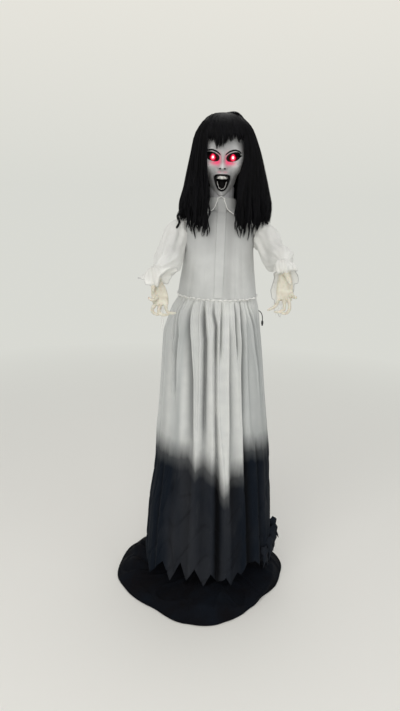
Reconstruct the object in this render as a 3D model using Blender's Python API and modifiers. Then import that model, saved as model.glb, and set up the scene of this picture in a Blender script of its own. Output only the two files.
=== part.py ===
"""Standing animated ghost figure: a girl in a long tattered dress on a hidden pole stand.

The figure faces -Y and +Z is up. The origin lies on the floor, on the axis of the pole.
The figure's own left is at +X. All lengths are in metres.
"""
import math

import bmesh
import bpy
from mathutils import Matrix, Vector

# Fits that many pieces share
SEAT_GAP = 0.0003
RUNNING_GAP = 0.0004
CUT_OVERRUN = 0.004
WELD_DISTANCE = 0.00002
CLOTH_THICKNESS = 0.0014

# Base: a hub on the floor with four tube legs, each with a rubber cap
HUB_FLANGE_RADIUS = 0.045
HUB_FLANGE_HEIGHT = 0.0335
HUB_COLLAR_RADIUS = 0.0185
HUB_HEIGHT = 0.085
HUB_SHOULDER = 0.006
LEG_RADIUS = 0.011
LEG_WALL = 0.0012
LEG_AXIS_HEIGHT = 0.0165
LEG_START = 0.014
LEG_REACH = 0.232
CAP_WALL = 0.0065
CAP_DEPTH = 0.024
CAP_END = 0.004
LEG_DIRECTIONS = (("left", 0.0), ("rear", 90.0), ("right", 180.0), ("front", 270.0))

# Pole: two tubes, the upper one swaged to sit in the lower one
POLE_RADIUS = 0.0127
POLE_WALL = 0.0012
POLE_FOOT = 0.036
POLE_JOINT = 0.470
POLE_TOP = 0.893
SPIGOT_LENGTH = 0.045

# Main heights, each worked out from the one below it
WAIST_LIFT = 0.082
TORSO_LENGTH = 0.268
SHOULDER_FALL = 0.071
HEAD_LIFT = 0.157
WAIST_HEIGHT = POLE_TOP + WAIST_LIFT
NECK_OPENING_HEIGHT = WAIST_HEIGHT + TORSO_LENGTH
SHOULDER_HEIGHT = NECK_OPENING_HEIGHT - SHOULDER_FALL
HEAD_CENTRE_HEIGHT = NECK_OPENING_HEIGHT + HEAD_LIFT

# Cloth over the base
COVER_RIM_ROOM = 0.046
COVER_RIM_RADIUS = LEG_REACH + COVER_RIM_ROOM
COVER_HEM_GAP = 0.0006
COVER_THICKNESS = 0.0020
COVER_COLUMNS = 36
COVER_PLEATS = 12
COVER_PLEAT_DEPTH = 0.006
COVER_PLEAT_TURN = 0.7
COVER_PLEAT_START_SHARE = 0.3
COVER_PLEAT_FULL_SHARE = 0.9
COVER_RIDGE_SHARPNESS = 1.5
COVER_RIM_SHARES = (0.945, 0.955, 0.945, 0.97, 1.005, 0.975, 0.945, 0.99,
                    1.085, 1.075, 0.975, 0.985, 1.020, 0.965, 0.875, 0.905)
COVER_CAP_ROOM = 0.004
COVER_INNER_SHARES = ((0.0, 1.0, 1.0), (0.20, 0.68, 0.52), (0.60, 0.26, -0.12), (1.0, 0.0, -0.46))
COVER_OUTER_SHARES = ((0.35, 0.66, 0.40), (0.72, 0.24, 0.16), (1.0, 0.0, 0.0))

# Drive unit, used at the waist and at the neck
GEAR_MODULE = 0.0015
GEAR_TEETH = 27
PINION_TEETH = 9
PRESSURE_ANGLE = 20.0
TOOTH_BACKLASH = 0.00030
GEAR_TURN_SHARE = 0.25
ADDENDUM_SHARE = 0.90
DEDENDUM_SHARE = 1.20
CASE_WALL = 0.0020
CASE_HEIGHT = 0.0140
CASE_SPLIT = 0.0070
CASE_SIDE_ROOM = 0.0015
GEAR_THICKNESS = 0.0068
GEAR_HUB_RADIUS = 0.0105
LOWER_JOURNAL_RADIUS = 0.0085
UPPER_JOURNAL_RADIUS = 0.0065
BOSS_RADIUS = 0.0145
BOSS_HEIGHT = 0.010
MOTOR_RADIUS = 0.0105
MOTOR_LENGTH = 0.026
MOTOR_NOSE_RADIUS = 0.0035
MOTOR_SHAFT_RADIUS = 0.0015
MOTOR_SOCKET_DEPTH = 0.008
PINION_TOP_STUB = 0.001
THRUST_FLANGE = 0.004

# Frame of the body
SPINE_RADIUS = 0.010
SPINE_WALL = 0.0012
SPINE_SEAT = 0.025
SPINE_SOCKET_HEIGHT = 0.032
SHOULDER_BAR_RADIUS = 0.0115
SHOULDER_BAR_REACH = 0.1000
YOKE_WALL = 0.003
YOKE_HALF_LENGTH = 0.028
YOKE_STEM = 0.030
YOKE_SINK = 0.0008
ARM_ROD_RADIUS = 0.005
ARM_SOCKET_DEPTH = 0.050

# Dress body, waist to neck
WAIST_HALF_WIDTH = 0.121
WAIST_HALF_DEPTH = 0.088
TORSO_SQUARENESS = 2.7
NECK_SQUARENESS = 2.0
TORSO_SHARES = ((0.0, 1.0, 1.0), (0.20, 0.95, 0.99), (0.42, 0.893, 0.98), (0.60, 0.857, 0.95),
                (0.86, 0.857, 0.78), (0.915, 0.80, 0.70), (0.96, 0.60, 0.62),
                (1.0, 0.38, 0.52))
NECK_ROUND_START_SHARE = 0.88
SHOULDER_SLOPE_START_SHARE = 0.80
SHOULDER_SLOPE_END_SHARE = 0.95
TORSO_COLUMNS = 24
CHEST_WALL = 0.0020
CHEST_COLUMNS = 8
CHEST_LIFT = 0.009
CHEST_FOOT = WAIST_HEIGHT + CHEST_LIFT
ARMHOLE_RADIUS = 0.0330
BODICE_PLEAT_DEPTH = 0.0016
BODICE_PLEATS = 7
PLEAT_END_LOW_SHARE = 0.60
PLEAT_END_HIGH_SHARE = 0.85

# Collar: a band round the neck with two flaps that lie on the shoulders
COLLAR_BAND_RADIUS = 0.0425
COLLAR_BAND_HEIGHT = 0.033
COLLAR_BAND_TOP = NECK_OPENING_HEIGHT + COLLAR_BAND_HEIGHT
COLLAR_BAND_FRONT_RISE = 0.006
COLLAR_LIFT = 0.0004
COLLAR_COLUMNS = 24
COLLAR_FLAP_SHARE = 0.970
COLLAR_NOTCH_SHARE = 0.992
COLLAR_NOTCH_START_SHARE = 0.90

# Skirt
HEM_HALF_WIDTH = 0.216
HEM_HALF_DEPTH = 0.176
HEM_TIP_HEIGHT = 0.060
HEM_VALLEY_HEIGHT = 0.122
SKIRT_TEETH = 20
SKIRT_COLUMNS_PER_TOOTH = 4
SKIRT_FLARE_SHARES = ((0.0, 0.0), (0.04, 0.14), (0.12, 0.37), (0.27, 0.47), (0.55, 0.68), (0.80, 0.90),
                      (1.0, 1.0))
SKIRT_FOLD_DEPTH = 0.010
SKIRT_FOLD_START_SHARE = 0.30
SKIRT_FOLD_UNEVEN_SHARE = 0.30
SKIRT_FOLD_WAVES = 5
SKIRT_FOLD_TURN = 1.1
SKIRT_SQUARENESS = 2.2
SKIRT_ROW_SHARES = (0.0, 0.05, 0.15, 0.50, 1.0)

# Sleeves and arms, from the armhole out, forward and down
ELBOW_SPREAD = 0.054
ELBOW_REACH = 0.082
ELBOW_DROP = 0.090
WRIST_SPREAD = 0.013
WRIST_REACH = 0.153
WRIST_RISE = 0.030
ARM_OUT_SHARES = (0.44, 0.04, 0.05)
ARM_MIDDLE_SHARES = (0.62, 0.20, 0.12)
RIGHT_ARM_DROP_DEGREES = 8.0
SLEEVE_SIDES = 12
SLEEVE_SHARES = ((0.0, 1.0), (0.18, 1.02), (0.38, 1.14), (0.56, 1.20), (0.76, 1.12), (0.92, 0.70))
CUFF_LENGTH = 0.052
CUFF_RADIUS = 0.043
CUFF_SHARES = ((0.28, 0.42), (0.62, 0.76), (1.0, 1.0))
CUFF_RAG = 0.012
SLEEVE_CREASE = 0.0022
SLEEVE_WRIST_ROOM = 0.0013
SLEEVE_CREASES = 3
WRIST_BAND_SHARE = 0.30
FULLNESS_SHARES = (0.10, 0.40, 0.80, 0.95)

# Hands
HAND_LENGTH = 0.150
WRIST_RADIUS = 0.0138
PALM_SIDES = 8
ROD_GRIP_SHARES = (0.0, 0.13, 0.10)
PALM_SHARES = ((0.0, -0.095, 0.018, 1.00, 1.00), (0.0, 0.010, -0.002, 0.95, 0.88),
               (0.0, 0.13, 0.10, 1.50, 0.85), (-0.03, 0.25, 0.25, 1.72, 0.72))
PALM_LEANS = (-11.0, 8.0, 42.0, 52.0)
FINGER_SHARES = (
    ((0.09, 0.20, 0.21), (0.13, 0.34, 0.36), (0.17, 0.41, 0.50), (0.24, 0.41, 0.66), (0.33, 0.35, 0.80)),
    ((0.01, 0.22, 0.23), (0.04, 0.38, 0.38), (0.08, 0.46, 0.53), (0.14, 0.47, 0.70), (0.22, 0.41, 0.86)),
    ((-0.07, 0.21, 0.24), (-0.06, 0.36, 0.39), (-0.02, 0.43, 0.53), (0.03, 0.44, 0.69), (0.10, 0.38, 0.85)),
    ((-0.14, 0.19, 0.24), (-0.15, 0.30, 0.37), (-0.13, 0.36, 0.48), (-0.09, 0.37, 0.61), (-0.03, 0.33, 0.73)))
THUMB_SHARES = ((0.06, 0.09, 0.08), (0.11, 0.17, 0.15), (0.16, 0.25, 0.23), (0.20, 0.32, 0.31),
                (0.21, 0.37, 0.39))
FINGER_RADIUS = 0.0072
FINGER_TAPER_SHARES = (1.0, 0.92, 0.82, 0.70, 0.42)

# Head
HEAD_HALF_WIDTH = 0.069
HEAD_HALF_DEPTH = 0.087
HEAD_RISE = 0.104
HEAD_DROP = 0.121
JAW_WIDTH_SHARE = 0.72
JAW_START_SHARE = 0.15
FACE_START_SHARE = 0.10
FACE_FULL_SHARE = 0.50
HEAD_COLUMNS = 22
HEAD_ROWS = 18
HEAD_FRONT_FINENESS_SHARE = 0.70
HEAD_LEVEL_FINENESS_SHARE = 0.50
HEAD_ROWS_LOWERED = 14.0
HEAD_WALL = 0.0022
HEAD_SEAM = 0.004
MOUNT_DROP = 0.074
MOUNT_HEIGHT = HEAD_CENTRE_HEIGHT - MOUNT_DROP
MOUNT_THICKNESS = 0.005
MOUNT_FRONT = 0.036
MOUNT_BOSS_RADIUS = 0.0115
MOUNT_BOSS_HEIGHT = 0.018
NECK_RADIUS = 0.0375
NECK_WALL = 0.0020
NECK_SINK = 0.021
NECK_TOP_DROP = 0.088
NECK_FOOT = NECK_OPENING_HEIGHT - NECK_SINK
NECK_TOP = HEAD_CENTRE_HEIGHT - NECK_TOP_DROP

# Face: places on the mask and the depth of each feature
EYE_SPACING_HALF = 0.0285
EYE_DROP = 0.011
EYE_HEIGHT = HEAD_CENTRE_HEIGHT - EYE_DROP
EYE_HALF_WIDTH = 0.0125
EYE_HALF_HEIGHT = 0.0068
LENS_RADIUS = 0.0145
LENS_WALL = 0.0014
LENS_SETBACK = 0.0020
MOUTH_DROP = 0.0805
MOUTH_HEIGHT = HEAD_CENTRE_HEIGHT - MOUTH_DROP
MOUTH_HALF_WIDTH = 0.0165
MOUTH_HALF_HEIGHT = 0.0185
MOUTH_LINER_DEPTH = 0.026
MOUTH_LINER_WALL = 0.0014
MOUTH_LINER_LIP = 0.006
MOUTH_FRONT_ELEVATION = -44.0
MOUTH_SIDES = 14
MOUTH_BOWL_ROUNDNESS = 2.6
MOUTH_BOWL_SHARES = (0.0, 0.35, 0.65, 0.85, 0.97)
LIGHT_BOARD_THICKNESS = 0.0016
LIGHT_BOARD_HEIGHT = 0.0114
LIGHT_RADIUS = 0.0025
LIGHT_LENGTH = 0.007
TOOTH_COUNT = 8
TOOTH_DROP = 0.0042
TOOTH_BAND = 0.0030
TOOTH_THICKNESS = 0.0024
TOOTH_ARC = 48.0
TOOTH_ARC_WIDTH_SHARE = 0.94
TOOTH_FRONT_SHARE = 0.22
TOOTH_CURVE_SHARE = 0.30
# Each row of the face: across, up from the head's centre, spread across, spread up and rise,
# all as shares of the head's half width
FACE_SHARES = (
    (0.0, -0.20, 0.105, 0.28, 0.105),
    (0.0, -0.60, 0.125, 0.12, 0.200),
    (0.150, -0.62, 0.080, 0.07, 0.070),
    (0.412, -0.165, 0.235, 0.155, -0.150),
    (0.420, 0.130, 0.300, 0.080, 0.040),
    (0.640, -0.500, 0.210, 0.180, 0.085),
    (0.610, -1.050, 0.170, 0.280, -0.075),
    (0.0, -1.160, 0.300, 0.360, 0.060),
    (0.0, -1.580, 0.220, 0.130, 0.120))

# Hair
WIG_THICKNESS = 0.0125
WIG_INNER_GAP = 0.0022
WIG_CUT_OVERLAP = 0.014
WEFT_RISE = 0.040
FRINGE_RISE = 0.018
WEFT_HEIGHT = HEAD_CENTRE_HEIGHT + WEFT_RISE
FRINGE_HEIGHT = HEAD_CENTRE_HEIGHT + FRINGE_RISE
FRINGE_LIFT = 0.0040
WIG_COLUMNS = 22
WIG_ROWS = 5
WIG_TOP_ELEVATION = 84.0
FRINGE_FULL_AZIMUTH = 30.0
FRINGE_END_AZIMUTH = 75.0
FRINGE_LIFT_START_SHARE = 0.40
HAIR_THICKNESS = 0.009
HAIR_FRONT_DROP = 0.234
HAIR_SHOULDER_CLEARANCE = 0.054
HAIR_BACK_DROP = 0.250
HAIR_FRONT_END = HEAD_CENTRE_HEIGHT - HAIR_FRONT_DROP
HAIR_SHOULDER_END = SHOULDER_HEIGHT + HAIR_SHOULDER_CLEARANCE
HAIR_BACK_END = HEAD_CENTRE_HEIGHT - HAIR_BACK_DROP
HAIR_PARTING_HALF = 0.049
HAIR_REAR_DEPTH = 0.104
HAIR_COLUMNS = 13
HAIR_ROWS = 6
HAIR_LEFT_SPREAD_SHARE = 1.05
HAIR_RIGHT_SPREAD_SHARE = 0.95
HAIR_WAVE = 0.0025
HAIR_WAVE_TURNS = 5.4
HAIR_WAVE_START_SHARE = 0.40
HAIR_FIRST_AZIMUTH = 25.0
SHOULDER_AZIMUTHS = (42.0, 74.0)
NAPE_AZIMUTHS = (104.0, 128.0)
HAIR_SEAM_GAP = 0.0012
HAIR_SHARES = ((0.0, 0.0, 0.0), (0.22, 0.30, 0.20), (0.47, 0.62, 0.45), (0.70, 1.0, 0.72), (0.86, 0.98, 0.90),
               (1.0, 0.82, 1.0))
HAIR_SPREAD = 0.062
HAIR_FORWARD = 0.030

# Control box under the waist drive
BOX_BACK = 0.0256
BOX_DEPTH = 0.034
BOX_HALF_WIDTH = 0.0300
BOX_RISE = 0.021
BOX_HEIGHT = 0.092
CELL_ROOM_HEIGHT = 0.0565
BOX_TOP = POLE_TOP + BOX_RISE
BOX_FOOT = BOX_TOP - BOX_HEIGHT
BOX_SHELF = BOX_TOP - CELL_ROOM_HEIGHT
BOX_WALL = 0.0022
GROOVE_DEPTH = 0.0012
DOOR_THICKNESS = 0.0014
DOOR_SETBACK = 0.0012
DOOR_GRIP = 0.0022
CELL_RADIUS = 0.00715
CELL_LENGTH = 0.0500
CELL_NIP_RADIUS = 0.0026
CELL_NIP_HEIGHT = 0.0012
BOARD_THICKNESS = 0.0016
SPEAKER_RADIUS = 0.0130
SPEAKER_DEPTH = 0.0060
SPEAKER_OFFSET = 0.0100
SPEAKER_SLOTS = 5
SPEAKER_SLOTS_WIDTH_SHARE = 0.90
SPEAKER_CONE_SHARES = (0.85, 0.30)
SPEAKER_MAGNET_SHARES = (0.55, 0.40, 0.60)
SWITCH_OFFSET = 0.0170
SWITCH_TRAVEL = 0.0040
SWITCH_SIZE = 0.0050
SWITCH_STAND = 0.0018
SWITCH_FOOT_SHARE = 0.80
CHIP_SHARES = (0.30, 0.25)
LUG_HALF_WIDTH = 0.012
LUG_REACH = 0.0253

# Lead with its connector
LEAD_RADIUS = 0.0014
LEAD_BOSS_RADIUS = 0.0040
LEAD_BOSS_LENGTH = 0.004
EYELET_RADIUS = 0.0052
EYELET_FLANGE = 0.0066
EYELET_HOLE_RADIUS = 0.0032
EYELET_LENGTH = 0.0060
LEAD_ROUTE = ((0.0430, 0.0343, 0.8950), (0.0430, 0.0415, 0.8950), (0.0455, 0.0480, 0.9000),
              (0.0560, 0.0520, 0.9110), (0.0760, 0.0500, 0.9240), (0.0980, 0.0430, 0.9340),
              (0.1200, 0.0360, 0.9390), (0.1310, 0.0330, 0.9385), (0.1400, 0.0310, 0.9340),
              (0.1458, 0.0305, 0.9240), (0.1476, 0.0310, 0.9120), (0.1478, 0.0312, 0.9060))
EYELET_PLACE = (0.1285, 0.0336, 0.9387)
CONNECTOR_RADIUS = 0.0036
CONNECTOR_LENGTH = 0.0160
CONNECTOR_TIP_RADIUS = 0.0026
CONNECTOR_TIP_LENGTH = 0.0050
CONNECTOR_TAPER_SHARES = (0.60, 0.25)
LEAD_STEP_SHARE = 2.5

# Colours with roughness and metallic value
BLACK_PLASTIC = ((0.020, 0.020, 0.022), 0.45, 0.0)
GREY_PLASTIC = ((0.300, 0.300, 0.310), 0.50, 0.0)
WHITE_PLASTIC = ((0.780, 0.770, 0.740), 0.45, 0.0)
STEEL = ((0.560, 0.570, 0.580), 0.35, 1.0)
PAINTED_STEEL = ((0.030, 0.030, 0.032), 0.40, 0.3)
RUBBER = ((0.018, 0.018, 0.018), 0.80, 0.0)
WHITE_CLOTH = ((0.720, 0.730, 0.740), 0.90, 0.0)
SKIRT_CLOTH = ((0.420, 0.430, 0.450), 0.90, 0.0)
BLACK_CLOTH = ((0.012, 0.013, 0.017), 0.92, 0.0)
SKIN = ((0.430, 0.430, 0.440), 0.55, 0.0)
HAND_SKIN = ((0.800, 0.770, 0.680), 0.50, 0.0)
HAIR = ((0.006, 0.006, 0.008), 0.50, 0.0)
RED_LENS = ((0.700, 0.020, 0.060), 0.20, 0.0)
TOOTH = ((0.820, 0.820, 0.790), 0.35, 0.0)
CIRCUIT = ((0.020, 0.120, 0.050), 0.45, 0.0)
NYLON = ((0.820, 0.810, 0.760), 0.45, 0.0)


def clear_scene():
    """Empty the scene, so that only the figure is in it."""
    for item in list(bpy.data.objects):
        bpy.data.objects.remove(item, do_unlink=True)


def new_collection(name):
    collection = bpy.data.collections.new(name)
    bpy.context.scene.collection.children.link(collection)
    return collection


def material_for(name, finish):
    """A Principled material with the piece's colour, roughness and metallic value."""
    colour, roughness, metallic = finish
    material = bpy.data.materials.new(name)
    material.use_nodes = True
    shader = material.node_tree.nodes["Principled BSDF"]
    shader.inputs["Base Color"].default_value = (*colour, 1.0)
    shader.inputs["Roughness"].default_value = roughness
    shader.inputs["Metallic"].default_value = metallic
    return material


def add_piece(name, mesh, finish, matrix=None, smooth_angle=35.0):
    """Put a finished mesh in the figure's collection under its own name."""
    piece = bpy.data.objects.new(name, mesh)
    PIECES.objects.link(piece)
    mesh.materials.clear()
    mesh.materials.append(material_for(name, finish))
    mesh.shade_smooth()
    mesh.set_sharp_from_angle(angle=math.radians(smooth_angle))
    if matrix is not None:
        piece.matrix_world = matrix
    return piece


def add_cutter(name, mesh, matrix=None):
    """Put a mesh among the cutters, which are shapes to cut or join with and no pieces."""
    cutter = bpy.data.objects.new(name, mesh)
    CUTTERS.objects.link(cutter)
    cutter.hide_render = True
    cutter.display_type = "WIRE"
    if matrix is not None:
        cutter.matrix_world = matrix
    return cutter


def combine(piece, cutter, operation="DIFFERENCE"):
    """Cut a piece by a cutter, or join or intersect it with one."""
    modifier = piece.modifiers.new(cutter.name, "BOOLEAN")
    modifier.operation = operation
    modifier.object = cutter
    modifier.solver = "EXACT"
    return modifier


def box_mesh(low, high):
    """A box between two corners."""
    mesh = bpy.data.meshes.new("box")
    form = bmesh.new()
    size = Vector(high) - Vector(low)
    centre = (Vector(high) + Vector(low)) / 2
    bmesh.ops.create_cube(form, size=1.0, matrix=Matrix.Translation(centre) @ Matrix.Diagonal((*size, 1.0)))
    form.to_mesh(mesh)
    form.free()
    return mesh


def rod_mesh(start, end, radius, sides=16, end_radius=None):
    """A cylinder or cone between two points."""
    start = Vector(start)
    end = Vector(end)
    turn = (end - start).to_track_quat("Z", "Y").to_matrix().to_4x4()
    mesh = bpy.data.meshes.new("rod")
    form = bmesh.new()
    bmesh.ops.create_cone(form, cap_ends=True, segments=sides, radius1=radius,
                          radius2=radius if end_radius is None else end_radius,
                          depth=(end - start).length,
                          matrix=Matrix.Translation((start + end) / 2) @ turn)
    form.to_mesh(mesh)
    form.free()
    return mesh


def turned_mesh(profile, sides=20):
    """A profile of (radius, height), down the outer side, turned round the Z axis."""
    mesh = bpy.data.meshes.new("profile")
    closed = profile[0] == profile[-1]
    points = profile[:-1] if closed else profile
    count = len(points)
    edges = [(index, index + 1) for index in range(count - 1)]
    if closed:
        edges.append((count - 1, 0))
    mesh.from_pydata([(radius, 0.0, height) for radius, height in points], edges, [])
    holder = bpy.data.objects.new("profile", mesh)
    CUTTERS.objects.link(holder)
    screw = holder.modifiers.new("Turn", "SCREW")
    screw.axis = "Z"
    screw.steps = sides
    screw.render_steps = sides
    screw.use_merge_vertices = True
    screw.merge_threshold = WELD_DISTANCE
    screw.use_smooth_shade = False
    return evaluated_mesh(holder)


def evaluated_mesh(holder):
    """The welded mesh of an object as it is shown, after which the object is removed."""
    bpy.context.view_layer.update()
    graph = bpy.context.evaluated_depsgraph_get()
    mesh = bpy.data.meshes.new_from_object(holder.evaluated_get(graph))
    bpy.data.objects.remove(holder, do_unlink=True)
    form = bmesh.new()
    form.from_mesh(mesh)
    bmesh.ops.remove_doubles(form, verts=form.verts, dist=WELD_DISTANCE)
    on_axis = [edge for edge in form.edges if not edge.link_faces]
    bmesh.ops.delete(form, geom=on_axis, context="EDGES")
    bmesh.ops.recalc_face_normals(form, faces=form.faces)
    form.to_mesh(mesh)
    form.free()
    return mesh


def tube_profile(radius, wall, low, high):
    """The closed profile of a plain tube."""
    return ((radius, high), (radius, low), (radius - wall, low), (radius - wall, high), (radius, high))


def plate_mesh(outline, low, high):
    """A flat outline made into a plate between two heights."""
    curve = bpy.data.curves.new("outline", "CURVE")
    curve.dimensions = "2D"
    curve.fill_mode = "BOTH"
    curve.extrude = (high - low) / 2
    spline = curve.splines.new("POLY")
    spline.points.add(len(outline) - 1)
    for point, (across, along) in zip(spline.points, outline):
        point.co = (across, along, 0.0, 1.0)
    spline.use_cyclic_u = True
    holder = bpy.data.objects.new("outline", curve)
    CUTTERS.objects.link(holder)
    mesh = evaluated_mesh(holder)
    form = bmesh.new()
    form.from_mesh(mesh)
    bmesh.ops.dissolve_limit(form, angle_limit=math.radians(1.0), verts=form.verts, edges=form.edges)
    form.to_mesh(mesh)
    form.free()
    mesh.transform(Matrix.Translation((0.0, 0.0, (high + low) / 2)))
    return mesh


def swept_mesh(points, radii, resolution):
    """A round bar along points, with its own radius at each point and filled ends."""
    curve = bpy.data.curves.new("path", "CURVE")
    curve.dimensions = "3D"
    curve.bevel_depth = 1.0
    curve.bevel_resolution = resolution
    curve.use_fill_caps = True
    spline = curve.splines.new("POLY")
    spline.points.add(len(points) - 1)
    for point, place, radius in zip(spline.points, points, radii):
        point.co = (*place, 1.0)
        point.radius = radius
    holder = bpy.data.objects.new("path", curve)
    CUTTERS.objects.link(holder)
    return evaluated_mesh(holder)


def smooth_path(points, steps):
    """Points along a smooth curve through the given ones, with so many steps between each pair."""
    places = [Vector(point) for point in points]
    places = [places[0] * 2 - places[1]] + places + [places[-1] * 2 - places[-2]]
    path = []
    for before, start, end, after in zip(places, places[1:], places[2:], places[3:]):
        for step in range(steps):
            share = step / steps
            path.append(0.5 * (2 * start + (end - before) * share
                               + (2 * before - 5 * start + 4 * end - after) * share ** 2
                               + (3 * start - before - 3 * end + after) * share ** 3))
    return path + [places[-2]]


def even_path(points, spacing):
    """Points a steady distance apart along a smooth curve through the given ones."""
    fine = smooth_path(points, 24)
    lengths = [0.0]
    for start, end in zip(fine, fine[1:]):
        lengths.append(lengths[-1] + (end - start).length)
    count = max(2, round(lengths[-1] / spacing))
    path = []
    for step in range(count + 1):
        wanted = lengths[-1] * step / count
        index = min(range(len(fine)), key=lambda item: abs(lengths[item] - wanted))
        path.append(fine[index])
    return path


def sheet_mesh(rows, closed=True):
    """A surface through rows of points, each row one ring or strip, from top to bottom."""
    mesh = bpy.data.meshes.new("sheet")
    columns = len(rows[0])
    points = [tuple(point) for row in rows for point in row]
    faces = []
    for row in range(len(rows) - 1):
        for column in range(columns if closed else columns - 1):
            after = (column + 1) % columns
            faces.append((row * columns + column, (row + 1) * columns + column,
                          (row + 1) * columns + after, row * columns + after))
    mesh.from_pydata(points, [], faces)
    return mesh


def solid_mesh(rows):
    """A closed solid through rings of points, with a fan of faces over each end."""
    mesh = sheet_mesh(rows)
    form = bmesh.new()
    form.from_mesh(mesh)
    form.verts.ensure_lookup_table()
    columns = len(rows[0])
    for first, ring in ((0, rows[0]), (columns * (len(rows) - 1), rows[-1])):
        middle = form.verts.new(sum((Vector(point) for point in ring), Vector()) / columns)
        form.verts.ensure_lookup_table()
        for column in range(columns):
            form.faces.new((middle, form.verts[first + column], form.verts[first + (column + 1) % columns]))
    bmesh.ops.remove_doubles(form, verts=form.verts, dist=WELD_DISTANCE)
    bmesh.ops.recalc_face_normals(form, faces=form.faces)
    form.to_mesh(mesh)
    form.free()
    return mesh


def thicken(piece, thickness):
    """Give a surface its thickness on the side away from its face."""
    modifier = piece.modifiers.new("Thickness", "SOLIDIFY")
    modifier.thickness = thickness
    modifier.offset = -1.0
    return modifier


def read_share(table, share, column=1):
    """A value from a table of shares, by straight lines between its rows."""
    for low, high in zip(table, table[1:]):
        if share <= high[0]:
            part = (share - low[0]) / (high[0] - low[0])
            return low[column] + (high[column] - low[column]) * max(0.0, part)
    return table[-1][column]


def ramp(value, low, high):
    """From 0 at low to 1 at high, with a soft start and end."""
    share = min(1.0, max(0.0, (value - low) / (high - low)))
    return share * share * (3 - 2 * share)


def oval_point(angle, half_width, half_depth, squareness):
    """A point on an oval whose sides are flatter the larger its squareness is."""
    across = math.cos(angle)
    along = math.sin(angle)
    power = 2 / squareness
    return (math.copysign(abs(across) ** power, across) * half_width,
            math.copysign(abs(along) ** power, along) * half_depth)


def build_hub():
    """The hub: a low flange with four leg sockets and a tall collar for the pole."""
    profile = ((0.0, HUB_HEIGHT), (HUB_COLLAR_RADIUS, HUB_HEIGHT),
               (HUB_COLLAR_RADIUS, HUB_FLANGE_HEIGHT + HUB_SHOULDER),
               (HUB_COLLAR_RADIUS + HUB_SHOULDER, HUB_FLANGE_HEIGHT),
               (HUB_FLANGE_RADIUS, HUB_FLANGE_HEIGHT), (HUB_FLANGE_RADIUS, 0.0), (0.0, 0.0))
    hub = add_piece("base_hub", turned_mesh(profile, 20), BLACK_PLASTIC)
    combine(hub, add_cutter("pole_socket_cut", rod_mesh(
        (0.0, 0.0, POLE_FOOT - SEAT_GAP), (0.0, 0.0, HUB_HEIGHT + CUT_OVERRUN), POLE_RADIUS + SEAT_GAP)))
    for side, degrees in LEG_DIRECTIONS:
        direction = Vector((math.cos(math.radians(degrees)), math.sin(math.radians(degrees)), 0.0))
        axis = Vector((0.0, 0.0, LEG_AXIS_HEIGHT))
        combine(hub, add_cutter("leg_socket_cut_" + side, rod_mesh(
            axis + direction * (LEG_START - SEAT_GAP), axis + direction * (HUB_FLANGE_RADIUS + CUT_OVERRUN),
            LEG_RADIUS + SEAT_GAP, 12)))


def build_legs():
    """Four tube legs, each with a rubber cap that is cut flat where it stands on the floor."""
    cap_radius = LEG_RADIUS + CAP_WALL
    for side, degrees in LEG_DIRECTIONS:
        lie_down = (Matrix.Rotation(math.radians(degrees), 4, "Z")
                    @ Matrix.Rotation(math.radians(90.0), 4, "Y"))
        place = Matrix.Translation((0.0, 0.0, LEG_AXIS_HEIGHT)) @ lie_down
        leg_end = LEG_REACH - CAP_END - SEAT_GAP
        add_piece("leg_" + side, turned_mesh(tube_profile(LEG_RADIUS, LEG_WALL, LEG_START, leg_end), 12),
                  PAINTED_STEEL, place)
        bore = LEG_RADIUS + SEAT_GAP
        cap_profile = ((0.0, LEG_REACH), (cap_radius, LEG_REACH), (cap_radius, LEG_REACH - CAP_DEPTH),
                       (bore, LEG_REACH - CAP_DEPTH), (bore, LEG_REACH - CAP_END), (0.0, LEG_REACH - CAP_END))
        cap = add_piece("foot_cap_" + side, turned_mesh(cap_profile, 12), RUBBER, place)
        combine(cap, add_cutter("floor_cut_" + side, box_mesh(
            (-LEG_REACH * 2, -LEG_REACH * 2, -CUT_OVERRUN * 2), (LEG_REACH * 2, LEG_REACH * 2, 0.0))))


def build_pole():
    """Two pole tubes; the upper one is drawn in at its foot to sit inside the lower one."""
    inner = POLE_RADIUS - POLE_WALL
    add_piece("pole_lower", turned_mesh(tube_profile(POLE_RADIUS, POLE_WALL, POLE_FOOT, POLE_JOINT), 16),
              PAINTED_STEEL)
    spigot = inner - SEAT_GAP
    foot = POLE_JOINT - SPIGOT_LENGTH
    step = POLE_JOINT + SEAT_GAP
    profile = ((POLE_RADIUS, POLE_TOP), (POLE_RADIUS, step), (spigot, step), (spigot, foot),
               (spigot - POLE_WALL, foot), (spigot - POLE_WALL, step + POLE_WALL),
               (inner, step + POLE_WALL * 2),
               (inner, POLE_TOP), (POLE_RADIUS, POLE_TOP))
    add_piece("pole_upper", turned_mesh(profile, 16), PAINTED_STEEL)


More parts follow.
